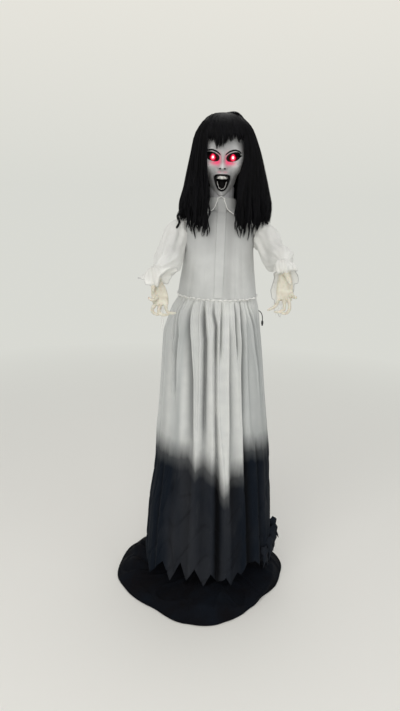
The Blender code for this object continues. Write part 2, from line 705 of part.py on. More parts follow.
def cover_point(zone, row, angle):
    """A point on top of the base's cloth, which hangs on the legs and sags between them."""
    turn = angle / (2 * math.pi) * len(COVER_RIM_SHARES)
    index = int(turn)
    part = ramp(turn - index, 0.0, 1.0)
    first = COVER_RIM_SHARES[index % len(COVER_RIM_SHARES)]
    second = COVER_RIM_SHARES[(index + 1) % len(COVER_RIM_SHARES)]
    rim = COVER_RIM_RADIUS * (first + (second - first) * part)
    on_leg = (0.5 + 0.5 * math.cos(len(LEG_DIRECTIONS) * angle)) ** COVER_RIDGE_SHARPNESS
    hub_edge = HUB_COLLAR_RADIUS + COVER_THICKNESS
    cap_edge = LEG_REACH + COVER_CAP_ROOM
    hub_top = HUB_HEIGHT + SEAT_GAP + COVER_THICKNESS
    cap_top = LEG_AXIS_HEIGHT + LEG_RADIUS + CAP_WALL + SEAT_GAP * 2 + COVER_THICKNESS
    if zone == "hub":
        radius = POLE_RADIUS + RUNNING_GAP + (hub_edge - POLE_RADIUS - RUNNING_GAP) * row[0]
        height = hub_top
    elif zone == "legs":
        radius = hub_edge + (cap_edge - hub_edge) * row[0]
        height = cap_top + (hub_top - cap_top) * (row[2] + (row[1] - row[2]) * on_leg)
    else:
        radius = cap_edge + (rim - cap_edge) * row[0]
        hem = COVER_HEM_GAP + COVER_THICKNESS
        height = hem + (cap_top - hem) * (row[2] + (row[1] - row[2]) * on_leg)
    if zone == "legs":
        crest = 0.5 + 0.5 * math.cos(COVER_PLEATS * angle + COVER_PLEAT_TURN)
        strength = (1 - on_leg) * ramp(row[0], COVER_PLEAT_START_SHARE, COVER_PLEAT_FULL_SHARE)
        height += COVER_PLEAT_DEPTH * crest * strength
    return Vector((radius * math.cos(angle), radius * math.sin(angle), height))


def build_cover():
    """The black cloth that hides the base, from a neat hole at the pole to its hem on the floor."""
    angles = [2 * math.pi * column / COVER_COLUMNS for column in range(COVER_COLUMNS)]
    stations = [("hub", (0.0,))]
    stations += [("legs", row) for row in COVER_INNER_SHARES] + [("rim", row) for row in COVER_OUTER_SHARES]
    rows = [[cover_point(zone, row, angle) for angle in angles] for zone, row in stations]
    cover = add_piece("base_cover", sheet_mesh(rows), BLACK_CLOTH, smooth_angle=60.0)
    thicken(cover, COVER_THICKNESS)


def gear_outline(teeth, turn):
    """The outline of a spur gear with straight-sided teeth set on the involute at root and tip."""
    pitch = GEAR_MODULE * teeth / 2
    base = pitch * math.cos(math.radians(PRESSURE_ANGLE))
    tip = pitch + GEAR_MODULE * ADDENDUM_SHARE
    root = pitch - GEAR_MODULE * DEDENDUM_SHARE

    def involute(radius):
        slope = math.acos(min(1.0, base / radius))
        return math.tan(slope) - slope

    half = math.pi / (2 * teeth) - TOOTH_BACKLASH / (2 * pitch) + involute(pitch)
    outline = []
    for tooth in range(teeth):
        middle = 2 * math.pi * (tooth + turn) / teeth
        root_half = half - involute(max(root, base))
        tip_half = half - involute(tip)
        for radius, angle in ((root, -root_half), (tip, -tip_half), (tip, tip_half), (root, root_half)):
            outline.append((radius * math.cos(middle + angle), radius * math.sin(middle + angle)))
    return outline


def gear_distance():
    """From the gear's axis to the pinion's."""
    return GEAR_MODULE * (GEAR_TEETH + PINION_TEETH) / 2


def capsule_outline(gear_radius, motor_radius, steps=9):
    """The outline round two circles, the large one at the gear and the small one at the motor."""
    lean = math.asin((gear_radius - motor_radius) / gear_distance())
    outline = []
    for step in range(steps + 1):
        angle = math.pi - lean + (math.pi + 2 * lean) * step / steps
        outline.append((gear_radius * math.cos(angle), gear_radius * math.sin(angle)))
    for step in range(steps + 1):
        angle = lean + (math.pi - 2 * lean) * step / steps
        outline.append((motor_radius * math.cos(angle), gear_distance() + motor_radius * math.sin(angle)))
    return outline


def case_plate(low, high, inset):
    """A plate with the drive case's outline, drawn in by an inset."""
    gear_tip = GEAR_MODULE * (GEAR_TEETH / 2 + ADDENDUM_SHARE)
    pinion_tip = GEAR_MODULE * (PINION_TEETH / 2 + ADDENDUM_SHARE)
    outer = CASE_SIDE_ROOM + CASE_WALL - inset
    return plate_mesh(capsule_outline(gear_tip + outer, pinion_tip + outer), low, high)


def build_drive(place, foot, extend_gear):
    """A gear drive: a split case, the motor under it, its pinion and the gear on its shaft."""
    stand = Matrix.Translation((0.0, 0.0, foot))
    motor_axis = gear_distance()
    case_lower = add_piece(place + "_case_lower", case_plate(0.0, CASE_SPLIT, 0.0), BLACK_PLASTIC, stand)
    pocket = case_plate(CASE_WALL, CASE_HEIGHT - CASE_WALL, CASE_WALL)
    pocket_cut = add_cutter(place + "_case_pocket_cut", pocket, stand)
    combine(case_lower, pocket_cut)
    combine(case_lower, add_cutter(place + "_journal_cut", rod_mesh(
        (0.0, 0.0, -CUT_OVERRUN), (0.0, 0.0, CASE_WALL + CUT_OVERRUN),
        LOWER_JOURNAL_RADIUS + RUNNING_GAP), stand))
    combine(case_lower, add_cutter(place + "_motor_nose_cut", rod_mesh(
        (0.0, motor_axis, -CUT_OVERRUN), (0.0, motor_axis, CASE_WALL + CUT_OVERRUN),
        MOTOR_NOSE_RADIUS + SEAT_GAP, 12), stand))
    case_upper = add_piece(place + "_case_upper", case_plate(CASE_SPLIT + SEAT_GAP, CASE_HEIGHT, 0.0),
                           BLACK_PLASTIC, stand)
    combine(case_upper, pocket_cut)
    build_motor(place, stand, motor_axis)
    build_pinion(place, stand, motor_axis)
    build_gear(place, stand, extend_gear)
    return case_lower, case_upper, stand


def build_motor(place, stand, motor_axis):
    """The motor's can under the case, its nose in the case's floor."""
    top = -SEAT_GAP
    nose_top = CASE_WALL - SEAT_GAP
    socket = MOTOR_SHAFT_RADIUS + SEAT_GAP
    socket_foot = nose_top - MOTOR_SOCKET_DEPTH
    profile = ((socket, nose_top), (MOTOR_NOSE_RADIUS, nose_top), (MOTOR_NOSE_RADIUS, top),
               (MOTOR_RADIUS, top),
               (MOTOR_RADIUS, top - MOTOR_LENGTH), (0.0, top - MOTOR_LENGTH), (0.0, socket_foot),
               (socket, socket_foot), (socket, nose_top))
    add_piece(place + "_motor", turned_mesh(profile, 12), STEEL,
              stand @ Matrix.Translation((0.0, motor_axis, 0.0)))


def build_pinion(place, stand, motor_axis):
    """The pinion on its shaft; a tooth of it stands in a gap of the gear."""
    low = CASE_WALL + SEAT_GAP
    high = low + GEAR_THICKNESS
    outline = gear_outline(PINION_TEETH, 0.75 * PINION_TEETH - 0.5)
    pinion = add_piece(place + "_pinion", plate_mesh(outline, low, high), NYLON,
                       stand @ Matrix.Translation((0.0, motor_axis, 0.0)))
    shaft_foot = CASE_WALL - MOTOR_SOCKET_DEPTH
    combine(pinion, add_cutter(place + "_pinion_shaft", rod_mesh(
        (0.0, 0.0, shaft_foot), (0.0, 0.0, high + PINION_TOP_STUB), MOTOR_SHAFT_RADIUS, 10),
        stand @ Matrix.Translation((0.0, motor_axis, 0.0))), "UNION")


def build_gear(place, stand, extend_gear):
    """The large gear, joined to the shaft that turns in the case's two bearings."""
    low = CASE_WALL + SEAT_GAP
    high = low + GEAR_THICKNESS
    outline = gear_outline(GEAR_TEETH, GEAR_TURN_SHARE * GEAR_TEETH)
    gear = add_piece(place + "_gear", plate_mesh(outline, low, high), NYLON,
                     stand)
    ceiling = CASE_HEIGHT - CASE_WALL - SEAT_GAP
    middle = ((GEAR_HUB_RADIUS, ceiling), (GEAR_HUB_RADIUS, low), (LOWER_JOURNAL_RADIUS, low))
    profile = extend_gear(middle)
    combine(gear, add_cutter(place + "_gear_shaft", turned_mesh(profile, 12), stand), "UNION")


def build_waist_drive():
    """The drive that turns the body on the pole: its gear stands still on the pole's top."""
    foot = POLE_TOP + THRUST_FLANGE + SEAT_GAP * 2
    spigot = POLE_RADIUS - POLE_WALL - SEAT_GAP

    def extend(middle):
        flange_top = -SEAT_GAP
        flange_foot = flange_top - THRUST_FLANGE
        journal_top = CASE_HEIGHT + SPINE_SOCKET_HEIGHT - SPINE_SEAT - YOKE_WALL
        return ((0.0, journal_top), (UPPER_JOURNAL_RADIUS, journal_top),
                (UPPER_JOURNAL_RADIUS, middle[0][1]), *middle,
                (LOWER_JOURNAL_RADIUS, flange_top), (BOSS_RADIUS, flange_top), (BOSS_RADIUS, flange_foot),
                (spigot, flange_foot), (spigot, flange_foot - SPIGOT_LENGTH),
                (0.0, flange_foot - SPIGOT_LENGTH))

    case_lower, case_upper, stand = build_drive("waist", foot, extend)
    lug = add_cutter("box_lug", box_mesh((0.0, -LUG_HALF_WIDTH, 0.0),
                                         (LUG_REACH, LUG_HALF_WIDTH, CASE_SPLIT)), stand)
    case_lower.modifiers.clear()
    combine(case_lower, lug, "UNION")
    for name in ("waist_case_pocket_cut", "waist_journal_cut", "waist_motor_nose_cut"):
        combine(case_lower, bpy.data.objects[name])
    socket_top = CASE_HEIGHT + SPINE_SOCKET_HEIGHT
    socket_wall = SPINE_RADIUS + SEAT_GAP + YOKE_WALL
    case_upper.modifiers.clear()
    combine(case_upper, add_cutter("spine_socket", rod_mesh(
        (0.0, 0.0, CASE_HEIGHT - CASE_WALL / 2), (0.0, 0.0, socket_top), socket_wall, 20), stand), "UNION")
    combine(case_upper, bpy.data.objects["waist_case_pocket_cut"])
    combine(case_upper, add_cutter("waist_upper_bearing_cut", rod_mesh(
        (0.0, 0.0, CASE_SPLIT), (0.0, 0.0, socket_top - SPINE_SEAT - YOKE_WALL + SEAT_GAP),
        UPPER_JOURNAL_RADIUS + RUNNING_GAP), stand))
    combine(case_upper, add_cutter("spine_socket_cut", rod_mesh(
        (0.0, 0.0, socket_top - SPINE_SEAT), (0.0, 0.0, socket_top + CUT_OVERRUN),
        SPINE_RADIUS + SEAT_GAP), stand))
    return foot


def neck_case_foot():
    """The underside of the neck's drive case, on top of the yoke round the shoulder bar."""
    return SHOULDER_HEIGHT + SHOULDER_BAR_RADIUS + SEAT_GAP + YOKE_WALL - YOKE_SINK


def build_neck_drive():
    """The drive that turns the head, with the yoke for spine and shoulder bar under its case."""
    foot = neck_case_foot()
    shaft_top = MOUNT_HEIGHT + MOUNT_BOSS_HEIGHT - foot

    def extend(middle):
        return ((0.0, shaft_top), (UPPER_JOURNAL_RADIUS, shaft_top),
                (UPPER_JOURNAL_RADIUS, middle[0][1]), *middle, (LOWER_JOURNAL_RADIUS, 0.0), (0.0, 0.0))

    case_lower, case_upper, stand = build_drive("neck", foot, extend)
    yoke_radius = SHOULDER_BAR_RADIUS + SEAT_GAP + YOKE_WALL
    cuts = [item.object for item in case_lower.modifiers]
    case_lower.modifiers.clear()
    combine(case_lower, add_cutter("bar_sleeve", rod_mesh(
        (-YOKE_HALF_LENGTH, 0.0, SHOULDER_HEIGHT), (YOKE_HALF_LENGTH, 0.0, SHOULDER_HEIGHT),
        yoke_radius, 14)), "UNION")
    combine(case_lower, add_cutter("yoke_web", box_mesh(
        (-YOKE_HALF_LENGTH / 2, -yoke_radius / 2, SHOULDER_HEIGHT + SHOULDER_BAR_RADIUS),
        (YOKE_HALF_LENGTH / 2, yoke_radius / 2, foot + CASE_WALL / 2))), "UNION")
    stem_foot = SHOULDER_HEIGHT - YOKE_STEM
    combine(case_lower, add_cutter("yoke_stem", rod_mesh(
        (0.0, 0.0, stem_foot), (0.0, 0.0, SHOULDER_HEIGHT), SPINE_RADIUS + SEAT_GAP + YOKE_WALL, 14)),
        "UNION")
    combine(case_lower, add_cutter("bar_cut", rod_mesh(
        (-YOKE_HALF_LENGTH - CUT_OVERRUN, 0.0, SHOULDER_HEIGHT),
        (YOKE_HALF_LENGTH + CUT_OVERRUN, 0.0, SHOULDER_HEIGHT), SHOULDER_BAR_RADIUS + SEAT_GAP, 16)))
    combine(case_lower, add_cutter("spine_top_cut", rod_mesh(
        (0.0, 0.0, stem_foot - CUT_OVERRUN), (0.0, 0.0, SHOULDER_HEIGHT), SPINE_RADIUS + SEAT_GAP)))
    for cutter in cuts:
        combine(case_lower, cutter)
    combine(case_upper, add_cutter("neck_boss", rod_mesh(
        (0.0, 0.0, CASE_HEIGHT - CASE_WALL / 2), (0.0, 0.0, CASE_HEIGHT + BOSS_HEIGHT),
        BOSS_RADIUS, 20), stand), "UNION")
    combine(case_upper, add_cutter("neck_upper_bearing_cut", rod_mesh(
        (0.0, 0.0, CASE_SPLIT), (0.0, 0.0, CASE_HEIGHT + BOSS_HEIGHT + CUT_OVERRUN),
        UPPER_JOURNAL_RADIUS + RUNNING_GAP), stand))


def build_frame(waist_foot):
    """The spine tube and the shoulder bar, which has a socket in each end for an arm."""
    spine_foot = waist_foot + CASE_HEIGHT + SPINE_SOCKET_HEIGHT - SPINE_SEAT + SEAT_GAP
    spine_top = SHOULDER_HEIGHT - SHOULDER_BAR_RADIUS - SEAT_GAP
    add_piece("spine_tube", turned_mesh(tube_profile(SPINE_RADIUS, SPINE_WALL, spine_foot, spine_top), 16),
              PAINTED_STEEL)
    socket = ARM_ROD_RADIUS + RUNNING_GAP
    reach = SHOULDER_BAR_REACH
    depth = SHOULDER_BAR_REACH - ARM_SOCKET_DEPTH
    profile = ((socket, reach), (SHOULDER_BAR_RADIUS, reach), (SHOULDER_BAR_RADIUS, -reach), (socket, -reach),
               (socket, -depth), (0.0, -depth), (0.0, depth), (socket, depth), (socket, reach))
    place = Matrix.Translation((0.0, 0.0, SHOULDER_HEIGHT)) @ Matrix.Rotation(math.radians(90.0), 4, "Y")
    add_piece("shoulder_bar", turned_mesh(profile, 16), BLACK_PLASTIC, place)


def torso_point(share, angle, inset=0.0):
    """A point on the dress body, by its share of the way from waist to neck opening."""
    height = WAIST_HEIGHT + (NECK_OPENING_HEIGHT - WAIST_HEIGHT) * share
    roundness = ramp(share, NECK_ROUND_START_SHARE, 1.0)
    squareness = TORSO_SQUARENESS + (NECK_SQUARENESS - TORSO_SQUARENESS) * roundness
    across, along = oval_point(angle, WAIST_HALF_WIDTH * read_share(TORSO_SHARES, share, 1) - inset,
                               WAIST_HALF_DEPTH * read_share(TORSO_SHARES, share, 2) - inset, squareness)
    slope = ramp(share, SHOULDER_SLOPE_START_SHARE, SHOULDER_SLOPE_END_SHARE)
    return Vector((across, along, height - inset * slope))


def torso_share(height):
    return (height - WAIST_HEIGHT) / (NECK_OPENING_HEIGHT - WAIST_HEIGHT)


def chest_inset():
    """How far the chest's outside lies under the outside of the cloth."""
    return CLOTH_THICKNESS + BODICE_PLEAT_DEPTH + SEAT_GAP * 2


def build_chest():
    """A moulded chest in a front and a rear shell, clamped round the shoulder bar."""
    shares = [torso_share(CHEST_FOOT)] + [row[0] for row in TORSO_SHARES[2:]]
    for side, first_degrees in (("front", 180.0), ("rear", 0.0)):
        angles = [math.radians(first_degrees + 180.0 * column / CHEST_COLUMNS)
                  for column in range(CHEST_COLUMNS + 1)]
        rows = [[torso_point(share, angle, chest_inset()) for angle in angles] for share in reversed(shares)]
        shell = add_piece("chest_" + side, sheet_mesh(rows, closed=False), GREY_PLASTIC, smooth_angle=60.0)
        thicken(shell, CHEST_WALL)
        seam = SEAT_GAP / 2
        reach = WAIST_HALF_WIDTH * 2
        low, high = (-seam, reach) if side == "front" else (-reach, seam)
        combine(shell, add_cutter("chest_seam_cut_" + side, box_mesh(
            (-reach, low, 0.0), (reach, high, NECK_OPENING_HEIGHT * 2))))
        combine(shell, add_cutter("bar_hole_cut_" + side, rod_mesh(
            (-reach, 0.0, SHOULDER_HEIGHT), (reach, 0.0, SHOULDER_HEIGHT), SHOULDER_BAR_RADIUS + SEAT_GAP)))


def build_bodice():
    """The dress body as one cloth skin over the chest, with soft pleats and two armholes."""
    shares = [row[0] for row in TORSO_SHARES]
    rows = []
    for share in reversed(shares):
        row = []
        for column in range(TORSO_COLUMNS):
            angle = 2 * math.pi * column / TORSO_COLUMNS
            pleat = 0.5 - 0.5 * math.cos(angle * BODICE_PLEATS * 2)
            fade = 1 - ramp(share, PLEAT_END_LOW_SHARE, PLEAT_END_HIGH_SHARE)
            depth = BODICE_PLEAT_DEPTH * pleat * fade * math.sqrt(abs(math.sin(angle)))
            row.append(torso_point(share, angle, depth))
        rows.append(row)
    bodice = add_piece("bodice", sheet_mesh(rows), WHITE_CLOTH, smooth_angle=60.0)
    thicken(bodice, CLOTH_THICKNESS)
    reach = WAIST_HALF_WIDTH * 2
    combine(bodice, add_cutter("armhole_cut", rod_mesh(
        (-reach, 0.0, SHOULDER_HEIGHT), (reach, 0.0, SHOULDER_HEIGHT), ARMHOLE_RADIUS, SLEEVE_SIDES)))


def armhole_plane():
    """The upright plane at each side where bodice and sleeve meet."""
    return WAIST_HALF_WIDTH * TORSO_SHARES[3][1] + SEAT_GAP


def build_collar():
    """The collar: a band round the neck that turns over into two flaps on the shoulders."""
    rows = [[], [], [], []]
    outset = -(CLOTH_THICKNESS + COLLAR_LIFT)
    for column in range(COLLAR_COLUMNS):
        angle = 2 * math.pi * column / COLLAR_COLUMNS
        front = max(0.0, -math.sin(angle))
        notch = ramp(abs(math.sin(angle)), COLLAR_NOTCH_START_SHARE, 1.0)
        across = COLLAR_BAND_RADIUS * math.cos(angle)
        along = COLLAR_BAND_RADIUS * math.sin(angle)
        top = COLLAR_BAND_TOP + COLLAR_BAND_FRONT_RISE * front
        foot = NECK_OPENING_HEIGHT + CLOTH_THICKNESS * 4
        flap = COLLAR_FLAP_SHARE + (COLLAR_NOTCH_SHARE - COLLAR_FLAP_SHARE) * notch
        rows[0].append(Vector((across, along, top)))
        rows[1].append(Vector((across, along, foot)))
        rows[2].append(torso_point((1 + flap) / 2, angle, outset))
        rows[3].append(torso_point(flap, angle, outset))
    collar = add_piece("collar", sheet_mesh(rows), WHITE_CLOTH, smooth_angle=60.0)
    thicken(collar, CLOTH_THICKNESS)


def skirt_point(share, column, columns):
    """A point on the skirt, by its share of the way from the waist to the ragged hem."""
    angle = 2 * math.pi * column / columns
    part = abs((column % SKIRT_COLUMNS_PER_TOOTH) / SKIRT_COLUMNS_PER_TOOTH * 2 - 1)
    hem = HEM_VALLEY_HEIGHT + (HEM_TIP_HEIGHT - HEM_VALLEY_HEIGHT) * part
    foot = WAIST_HEIGHT - SEAT_GAP
    height = foot + (hem - foot) * share
    flare = read_share(SKIRT_FLARE_SHARES, (foot - height) / (foot - HEM_TIP_HEIGHT))
    strength = SKIRT_FOLD_START_SHARE + (1 - SKIRT_FOLD_START_SHARE) * flare
    uneven = 1 - SKIRT_FOLD_UNEVEN_SHARE * (1 - math.sin(SKIRT_FOLD_WAVES * angle + SKIRT_FOLD_TURN))
    fold = SKIRT_FOLD_DEPTH * strength * uneven * (part - 0.5)
    half_width = WAIST_HALF_WIDTH + (HEM_HALF_WIDTH - WAIST_HALF_WIDTH) * flare + fold
    half_depth = WAIST_HALF_DEPTH + (HEM_HALF_DEPTH - WAIST_HALF_DEPTH) * flare + fold
    across, along = oval_point(angle, half_width, half_depth, SKIRT_SQUARENESS)
    return Vector((across, along, height))


def build_skirt():
    """The long skirt: gathered at the waist, with folds that run down to the teeth of its hem."""
    columns = SKIRT_TEETH * SKIRT_COLUMNS_PER_TOOTH
    rows = [[skirt_point(share, column, columns) for column in range(columns)] for share in SKIRT_ROW_SHARES]
    skirt = add_piece("skirt", sheet_mesh(rows), SKIRT_CLOTH, smooth_angle=60.0)
    thicken(skirt, CLOTH_THICKNESS)
    place = Vector(EYELET_PLACE)
    out = Vector((1.0, 0.0, 0.0))
    combine(skirt, add_cutter("eyelet_hole_cut", rod_mesh(
        place - out * EYELET_LENGTH * 2, place + out * EYELET_LENGTH * 2, EYELET_FLANGE + SEAT_GAP, 12)))


def arm_points():
    """Shoulder, elbow and wrist of the figure's left arm."""
    shoulder = Vector((armhole_plane() + SEAT_GAP, 0.0, SHOULDER_HEIGHT))
    elbow = shoulder + Vector((ELBOW_SPREAD, -ELBOW_REACH, -ELBOW_DROP))
    wrist = elbow + Vector((WRIST_SPREAD, -WRIST_REACH, WRIST_RISE))
    return shoulder, elbow, wrist


def arm_path(steps):
    """A smooth line from the armhole over the elbow to the wrist."""
    shoulder, elbow, wrist = arm_points()
    sideways, forward, down = ARM_OUT_SHARES
    out = shoulder + Vector((ELBOW_SPREAD * sideways, -ELBOW_REACH * forward, -ELBOW_DROP * down))
    along, sideways, back = ARM_MIDDLE_SHARES
    middle = shoulder.lerp(elbow, along) + Vector((ELBOW_SPREAD * sideways, ELBOW_REACH * back, 0.0))
    return smooth_path((shoulder, out, middle, elbow, elbow.lerp(wrist, 0.5), wrist), steps)


def arm_rod_mesh():
    """A steel rod that turns in the shoulder bar's socket and is bent at shoulder and elbow."""
    start = Vector((SHOULDER_BAR_REACH - ARM_SOCKET_DEPTH + SEAT_GAP, 0.0, SHOULDER_HEIGHT))
    points = [start] + arm_path(3) + [arm_points()[2] + hand_place(ROD_GRIP_SHARES)]
    return swept_mesh(points, [ARM_ROD_RADIUS] * len(points), 1)


def hand_place(shares):
    """From the wrist to a place on the left hand, by shares inward, forward and down."""
    inward, forward, down = shares
    return Vector((-inward, -forward, -down)) * HAND_LENGTH


def palm_rows(wrist):
    """Rings from the wrist to the knuckles."""
    rows = []
    for (inward, forward, down, width, depth), lean in zip(PALM_SHARES, PALM_LEANS):
        centre = wrist + hand_place((inward, forward, down))
        slope = math.radians(lean)
        row = []
        for side in range(PALM_SIDES):
            angle = 2 * math.pi * side / PALM_SIDES
            across = math.cos(angle) * WRIST_RADIUS * width
            thick = math.sin(angle) * WRIST_RADIUS * depth
            row.append(centre + Vector((across, -thick * math.sin(slope), thick * math.cos(slope))))
        rows.append(row)
    return rows


def build_hand(name, place):
    """A hand with four curled fingers and a thumb, joined to the palm."""
    wrist = arm_points()[2]
    hand = add_piece(name, solid_mesh(palm_rows(wrist)), HAND_SKIN, place, smooth_angle=60.0)
    for index, shares in enumerate(FINGER_SHARES + (THUMB_SHARES,)):
        points = [wrist + hand_place(share) for share in shares]
        radii = [FINGER_RADIUS * share for share in FINGER_TAPER_SHARES]
        finger = add_cutter(name + "_finger_" + str(index + 1), swept_mesh(points, radii, 1), place)
        combine(hand, finger, "UNION")
    grip = wrist + hand_place(ROD_GRIP_SHARES)
    route = arm_path(3)[-3:] + [grip + (grip - wrist).normalized() * SEAT_GAP]
    combine(hand, add_cutter(name + "_rod_cut", swept_mesh(
        route, [(ARM_ROD_RADIUS + SEAT_GAP) / math.cos(math.pi / 6)] * len(route), 1), place))
    weld = hand.modifiers.new("Weld", "WELD")
    weld.merge_threshold = WELD_DISTANCE


def sleeve_rows():
    """Rings of the sleeve from the armhole to the drawn-in wrist and out again to the ragged cuff."""
    wrist = arm_points()[2]
    arm = arm_path(12)
    palm = [wrist + hand_place(shares[:3]) for shares in PALM_SHARES[2:]]
    path = arm[:-1] + smooth_path([wrist] + palm + [palm[-1] * 2 - palm[-2]], 12)
    lengths = [0.0]
    for start, end in zip(path, path[1:]):
        lengths.append(lengths[-1] + (end - start).length)
    arm_length = lengths[len(arm) - 1]
    wrist_radius = (WRIST_RADIUS + SLEEVE_WRIST_ROOM) / math.cos(math.pi / SLEEVE_SIDES) + CLOTH_THICKNESS
    stations = [(share * arm_length, ARMHOLE_RADIUS * size) for share, size in SLEEVE_SHARES]
    stations.append((arm_length - WRIST_RADIUS * WRIST_BAND_SHARE, wrist_radius))
    for share, size in CUFF_SHARES:
        stations.append((arm_length + CUFF_LENGTH * share,
                         wrist_radius + (CUFF_RADIUS - wrist_radius) * size))
    rows = []
    tangent = Vector((1.0, 0.0, 0.0))
    upward = Vector((0.0, 0.0, 1.0))
    for number, (wanted, radius) in enumerate(stations):
        index = min(range(len(path)), key=lambda item: abs(lengths[item] - wanted))
        centre = path[index]
        if number:
            new_tangent = (path[min(len(path) - 1, index + 1)] - path[index - 1]).normalized()
            upward = tangent.rotation_difference(new_tangent) @ upward
            tangent = new_tangent
        side = upward.cross(tangent)
        part = wanted / arm_length
        fullness = ramp(part, *FULLNESS_SHARES[:2]) * (1 - ramp(part, *FULLNESS_SHARES[2:]))
        rag = CUFF_RAG if number == len(stations) - 1 else 0.0
        row = []
        for column in range(SLEEVE_SIDES):
            angle = 2 * math.pi * column / SLEEVE_SIDES
            reach = radius + SLEEVE_CREASE * math.cos(SLEEVE_CREASES * angle + number) * fullness
            point = centre + (upward * math.cos(angle) + side * math.sin(angle)) * reach
            row.append(point + tangent * rag * (column % 2))
        rows.append(row)
    return rows


def build_arm(side, place):
    """One arm: the rod, the hand on it and the sleeve over it."""
    add_piece("arm_rod_" + side, arm_rod_mesh(), STEEL, place)
    sleeve = add_piece("sleeve_" + side, sheet_mesh(sleeve_rows()), WHITE_CLOTH, place, smooth_angle=60.0)
    thicken(sleeve, CLOTH_THICKNESS)
    build_hand("hand_" + side, place)


def build_arms():
    """Both arms; the right one is the left one's mirror image, turned down a little at its shoulder."""
    build_arm("left", Matrix.Identity(4))
    shoulder = Matrix.Translation((0.0, 0.0, SHOULDER_HEIGHT))
    lower = Matrix.Rotation(math.radians(RIGHT_ARM_DROP_DEGREES), 4, "X")
    flip = Matrix.Diagonal((-1.0, 1.0, 1.0, 1.0))
    build_mirrored_arm(shoulder @ lower @ shoulder.inverted() @ flip)


def build_mirrored_arm(place):
    """The right arm's pieces, with their meshes turned over so that they still face outward."""
    build_arm("right", Matrix.Identity(4))
    names = ["arm_rod_right", "sleeve_right", "hand_right", "hand_right_rod_cut"]
    names += ["hand_right_finger_" + str(index + 1) for index in range(len(FINGER_SHARES) + 1)]
    for name in names:
        mesh = bpy.data.objects[name].data
        mesh.transform(place)
        mesh.flip_normals()


def head_radius(azimuth, elevation, features=1.0):
    """From the head's centre to its surface; azimuth 0 looks forward and elevation 0 is level."""
    drop = ramp(-elevation, JAW_START_SHARE, 1.0)
    width = HEAD_HALF_WIDTH * (1 - (1 - JAW_WIDTH_SHARE) * drop)
    rise = HEAD_RISE if elevation > 0 else HEAD_DROP
    across = math.cos(elevation) * math.sin(azimuth)
    forward = math.cos(elevation) * math.cos(azimuth)
    up = math.sin(elevation)
    radius = 1 / math.sqrt((across / width) ** 2 + (forward / HEAD_HALF_DEPTH) ** 2 + (up / rise) ** 2)
    if forward <= 0 or not features:
        return radius
    side = abs(radius * across) / HEAD_HALF_WIDTH
    height = radius * up / HEAD_HALF_WIDTH
    for place, level, spread, tall, amount in FACE_SHARES:
        near = math.exp(-((side - place) / spread) ** 2 - ((height - level) / tall) ** 2)
        facing = ramp(forward, FACE_START_SHARE, FACE_FULL_SHARE)
        radius += HEAD_HALF_WIDTH * amount * near * features * facing
    return radius


def head_point(azimuth, elevation, outset=0.0, features=1.0):
    radius = head_radius(azimuth, elevation, features) + outset
    return Vector((radius * math.cos(elevation) * math.sin(azimuth),
                   -radius * math.cos(elevation) * math.cos(azimuth),
                   HEAD_CENTRE_HEIGHT + radius * math.sin(elevation)))


def head_mesh(outset, features=1.0):
    """A closed head form whose points lie closest together on the face."""
    rows = []
    for row in range(1, HEAD_ROWS):
        share = 1 - 2 * row / HEAD_ROWS
        spread = share - HEAD_LEVEL_FINENESS_SHARE * math.sin(math.pi * share) / math.pi
        elevation = math.radians(90.0) * spread - math.radians(HEAD_ROWS_LOWERED) * (1 - share * share)
        line = []
        for column in range(HEAD_COLUMNS):
            turn = 2 * column / HEAD_COLUMNS - 1
            azimuth = math.pi * (turn - HEAD_FRONT_FINENESS_SHARE * math.sin(math.pi * turn) / math.pi)
            line.append(head_point(azimuth, elevation, outset, features))
        rows.append(line)
    return solid_mesh(rows)


def build_head_shells():
    """The face mask and the rear of the skull, two halves of one hollow head."""
    reach = HEAD_HALF_DEPTH * 3
    seam = SEAT_GAP / 2
    neck_cut = add_cutter("neck_hole_cut", rod_mesh(
        (0.0, 0.0, NECK_FOOT), (0.0, 0.0, NECK_TOP + SEAT_GAP), NECK_RADIUS + SEAT_GAP, 20))
    for name, low, high in (("face_shell", HEAD_SEAM - seam, reach),
                            ("skull_shell", -reach, HEAD_SEAM + seam)):
        shell = add_piece(name, head_mesh(0.0), SKIN, smooth_angle=60.0)
        combine(shell, add_cutter(name + "_hollow_cut", head_mesh(-HEAD_WALL)))
        combine(shell, add_cutter(name + "_seam_cut", box_mesh((-reach, low, 0.0),
                                                               (reach, high, reach * 10))))
        combine(shell, neck_cut)
    face = bpy.data.objects["face_shell"]
    for side, sign in (("left", 1.0), ("right", -1.0)):
        eye = rod_mesh((0.0, 0.0, 0.0), (0.0, -reach, 0.0), 1.0, 16)
        eye.transform(Matrix.Translation((sign * EYE_SPACING_HALF, 0.0, EYE_HEIGHT))
                      @ Matrix.Diagonal((EYE_HALF_WIDTH, 1.0, EYE_HALF_HEIGHT, 1.0)))
        combine(face, add_cutter("eye_hole_cut_" + side, eye))
    mouth = rod_mesh((0.0, 0.0, 0.0), (0.0, -reach, 0.0), 1.0, 18)
    mouth.transform(Matrix.Translation((0.0, 0.0, MOUTH_HEIGHT))
                    @ Matrix.Diagonal((MOUTH_HALF_WIDTH, 1.0, MOUTH_HALF_HEIGHT, 1.0)))
    combine(face, add_cutter("mouth_hole_cut", mouth))


def lens_front():
    """The foremost point of each eye lens, just behind the mask round the eye hole."""
    elevation = math.asin((EYE_HEIGHT - HEAD_CENTRE_HEIGHT) / HEAD_HALF_DEPTH)
    azimuth = math.asin(EYE_SPACING_HALF / HEAD_HALF_DEPTH)
    return head_point(azimuth, elevation).y + HEAD_WALL + LENS_SETBACK


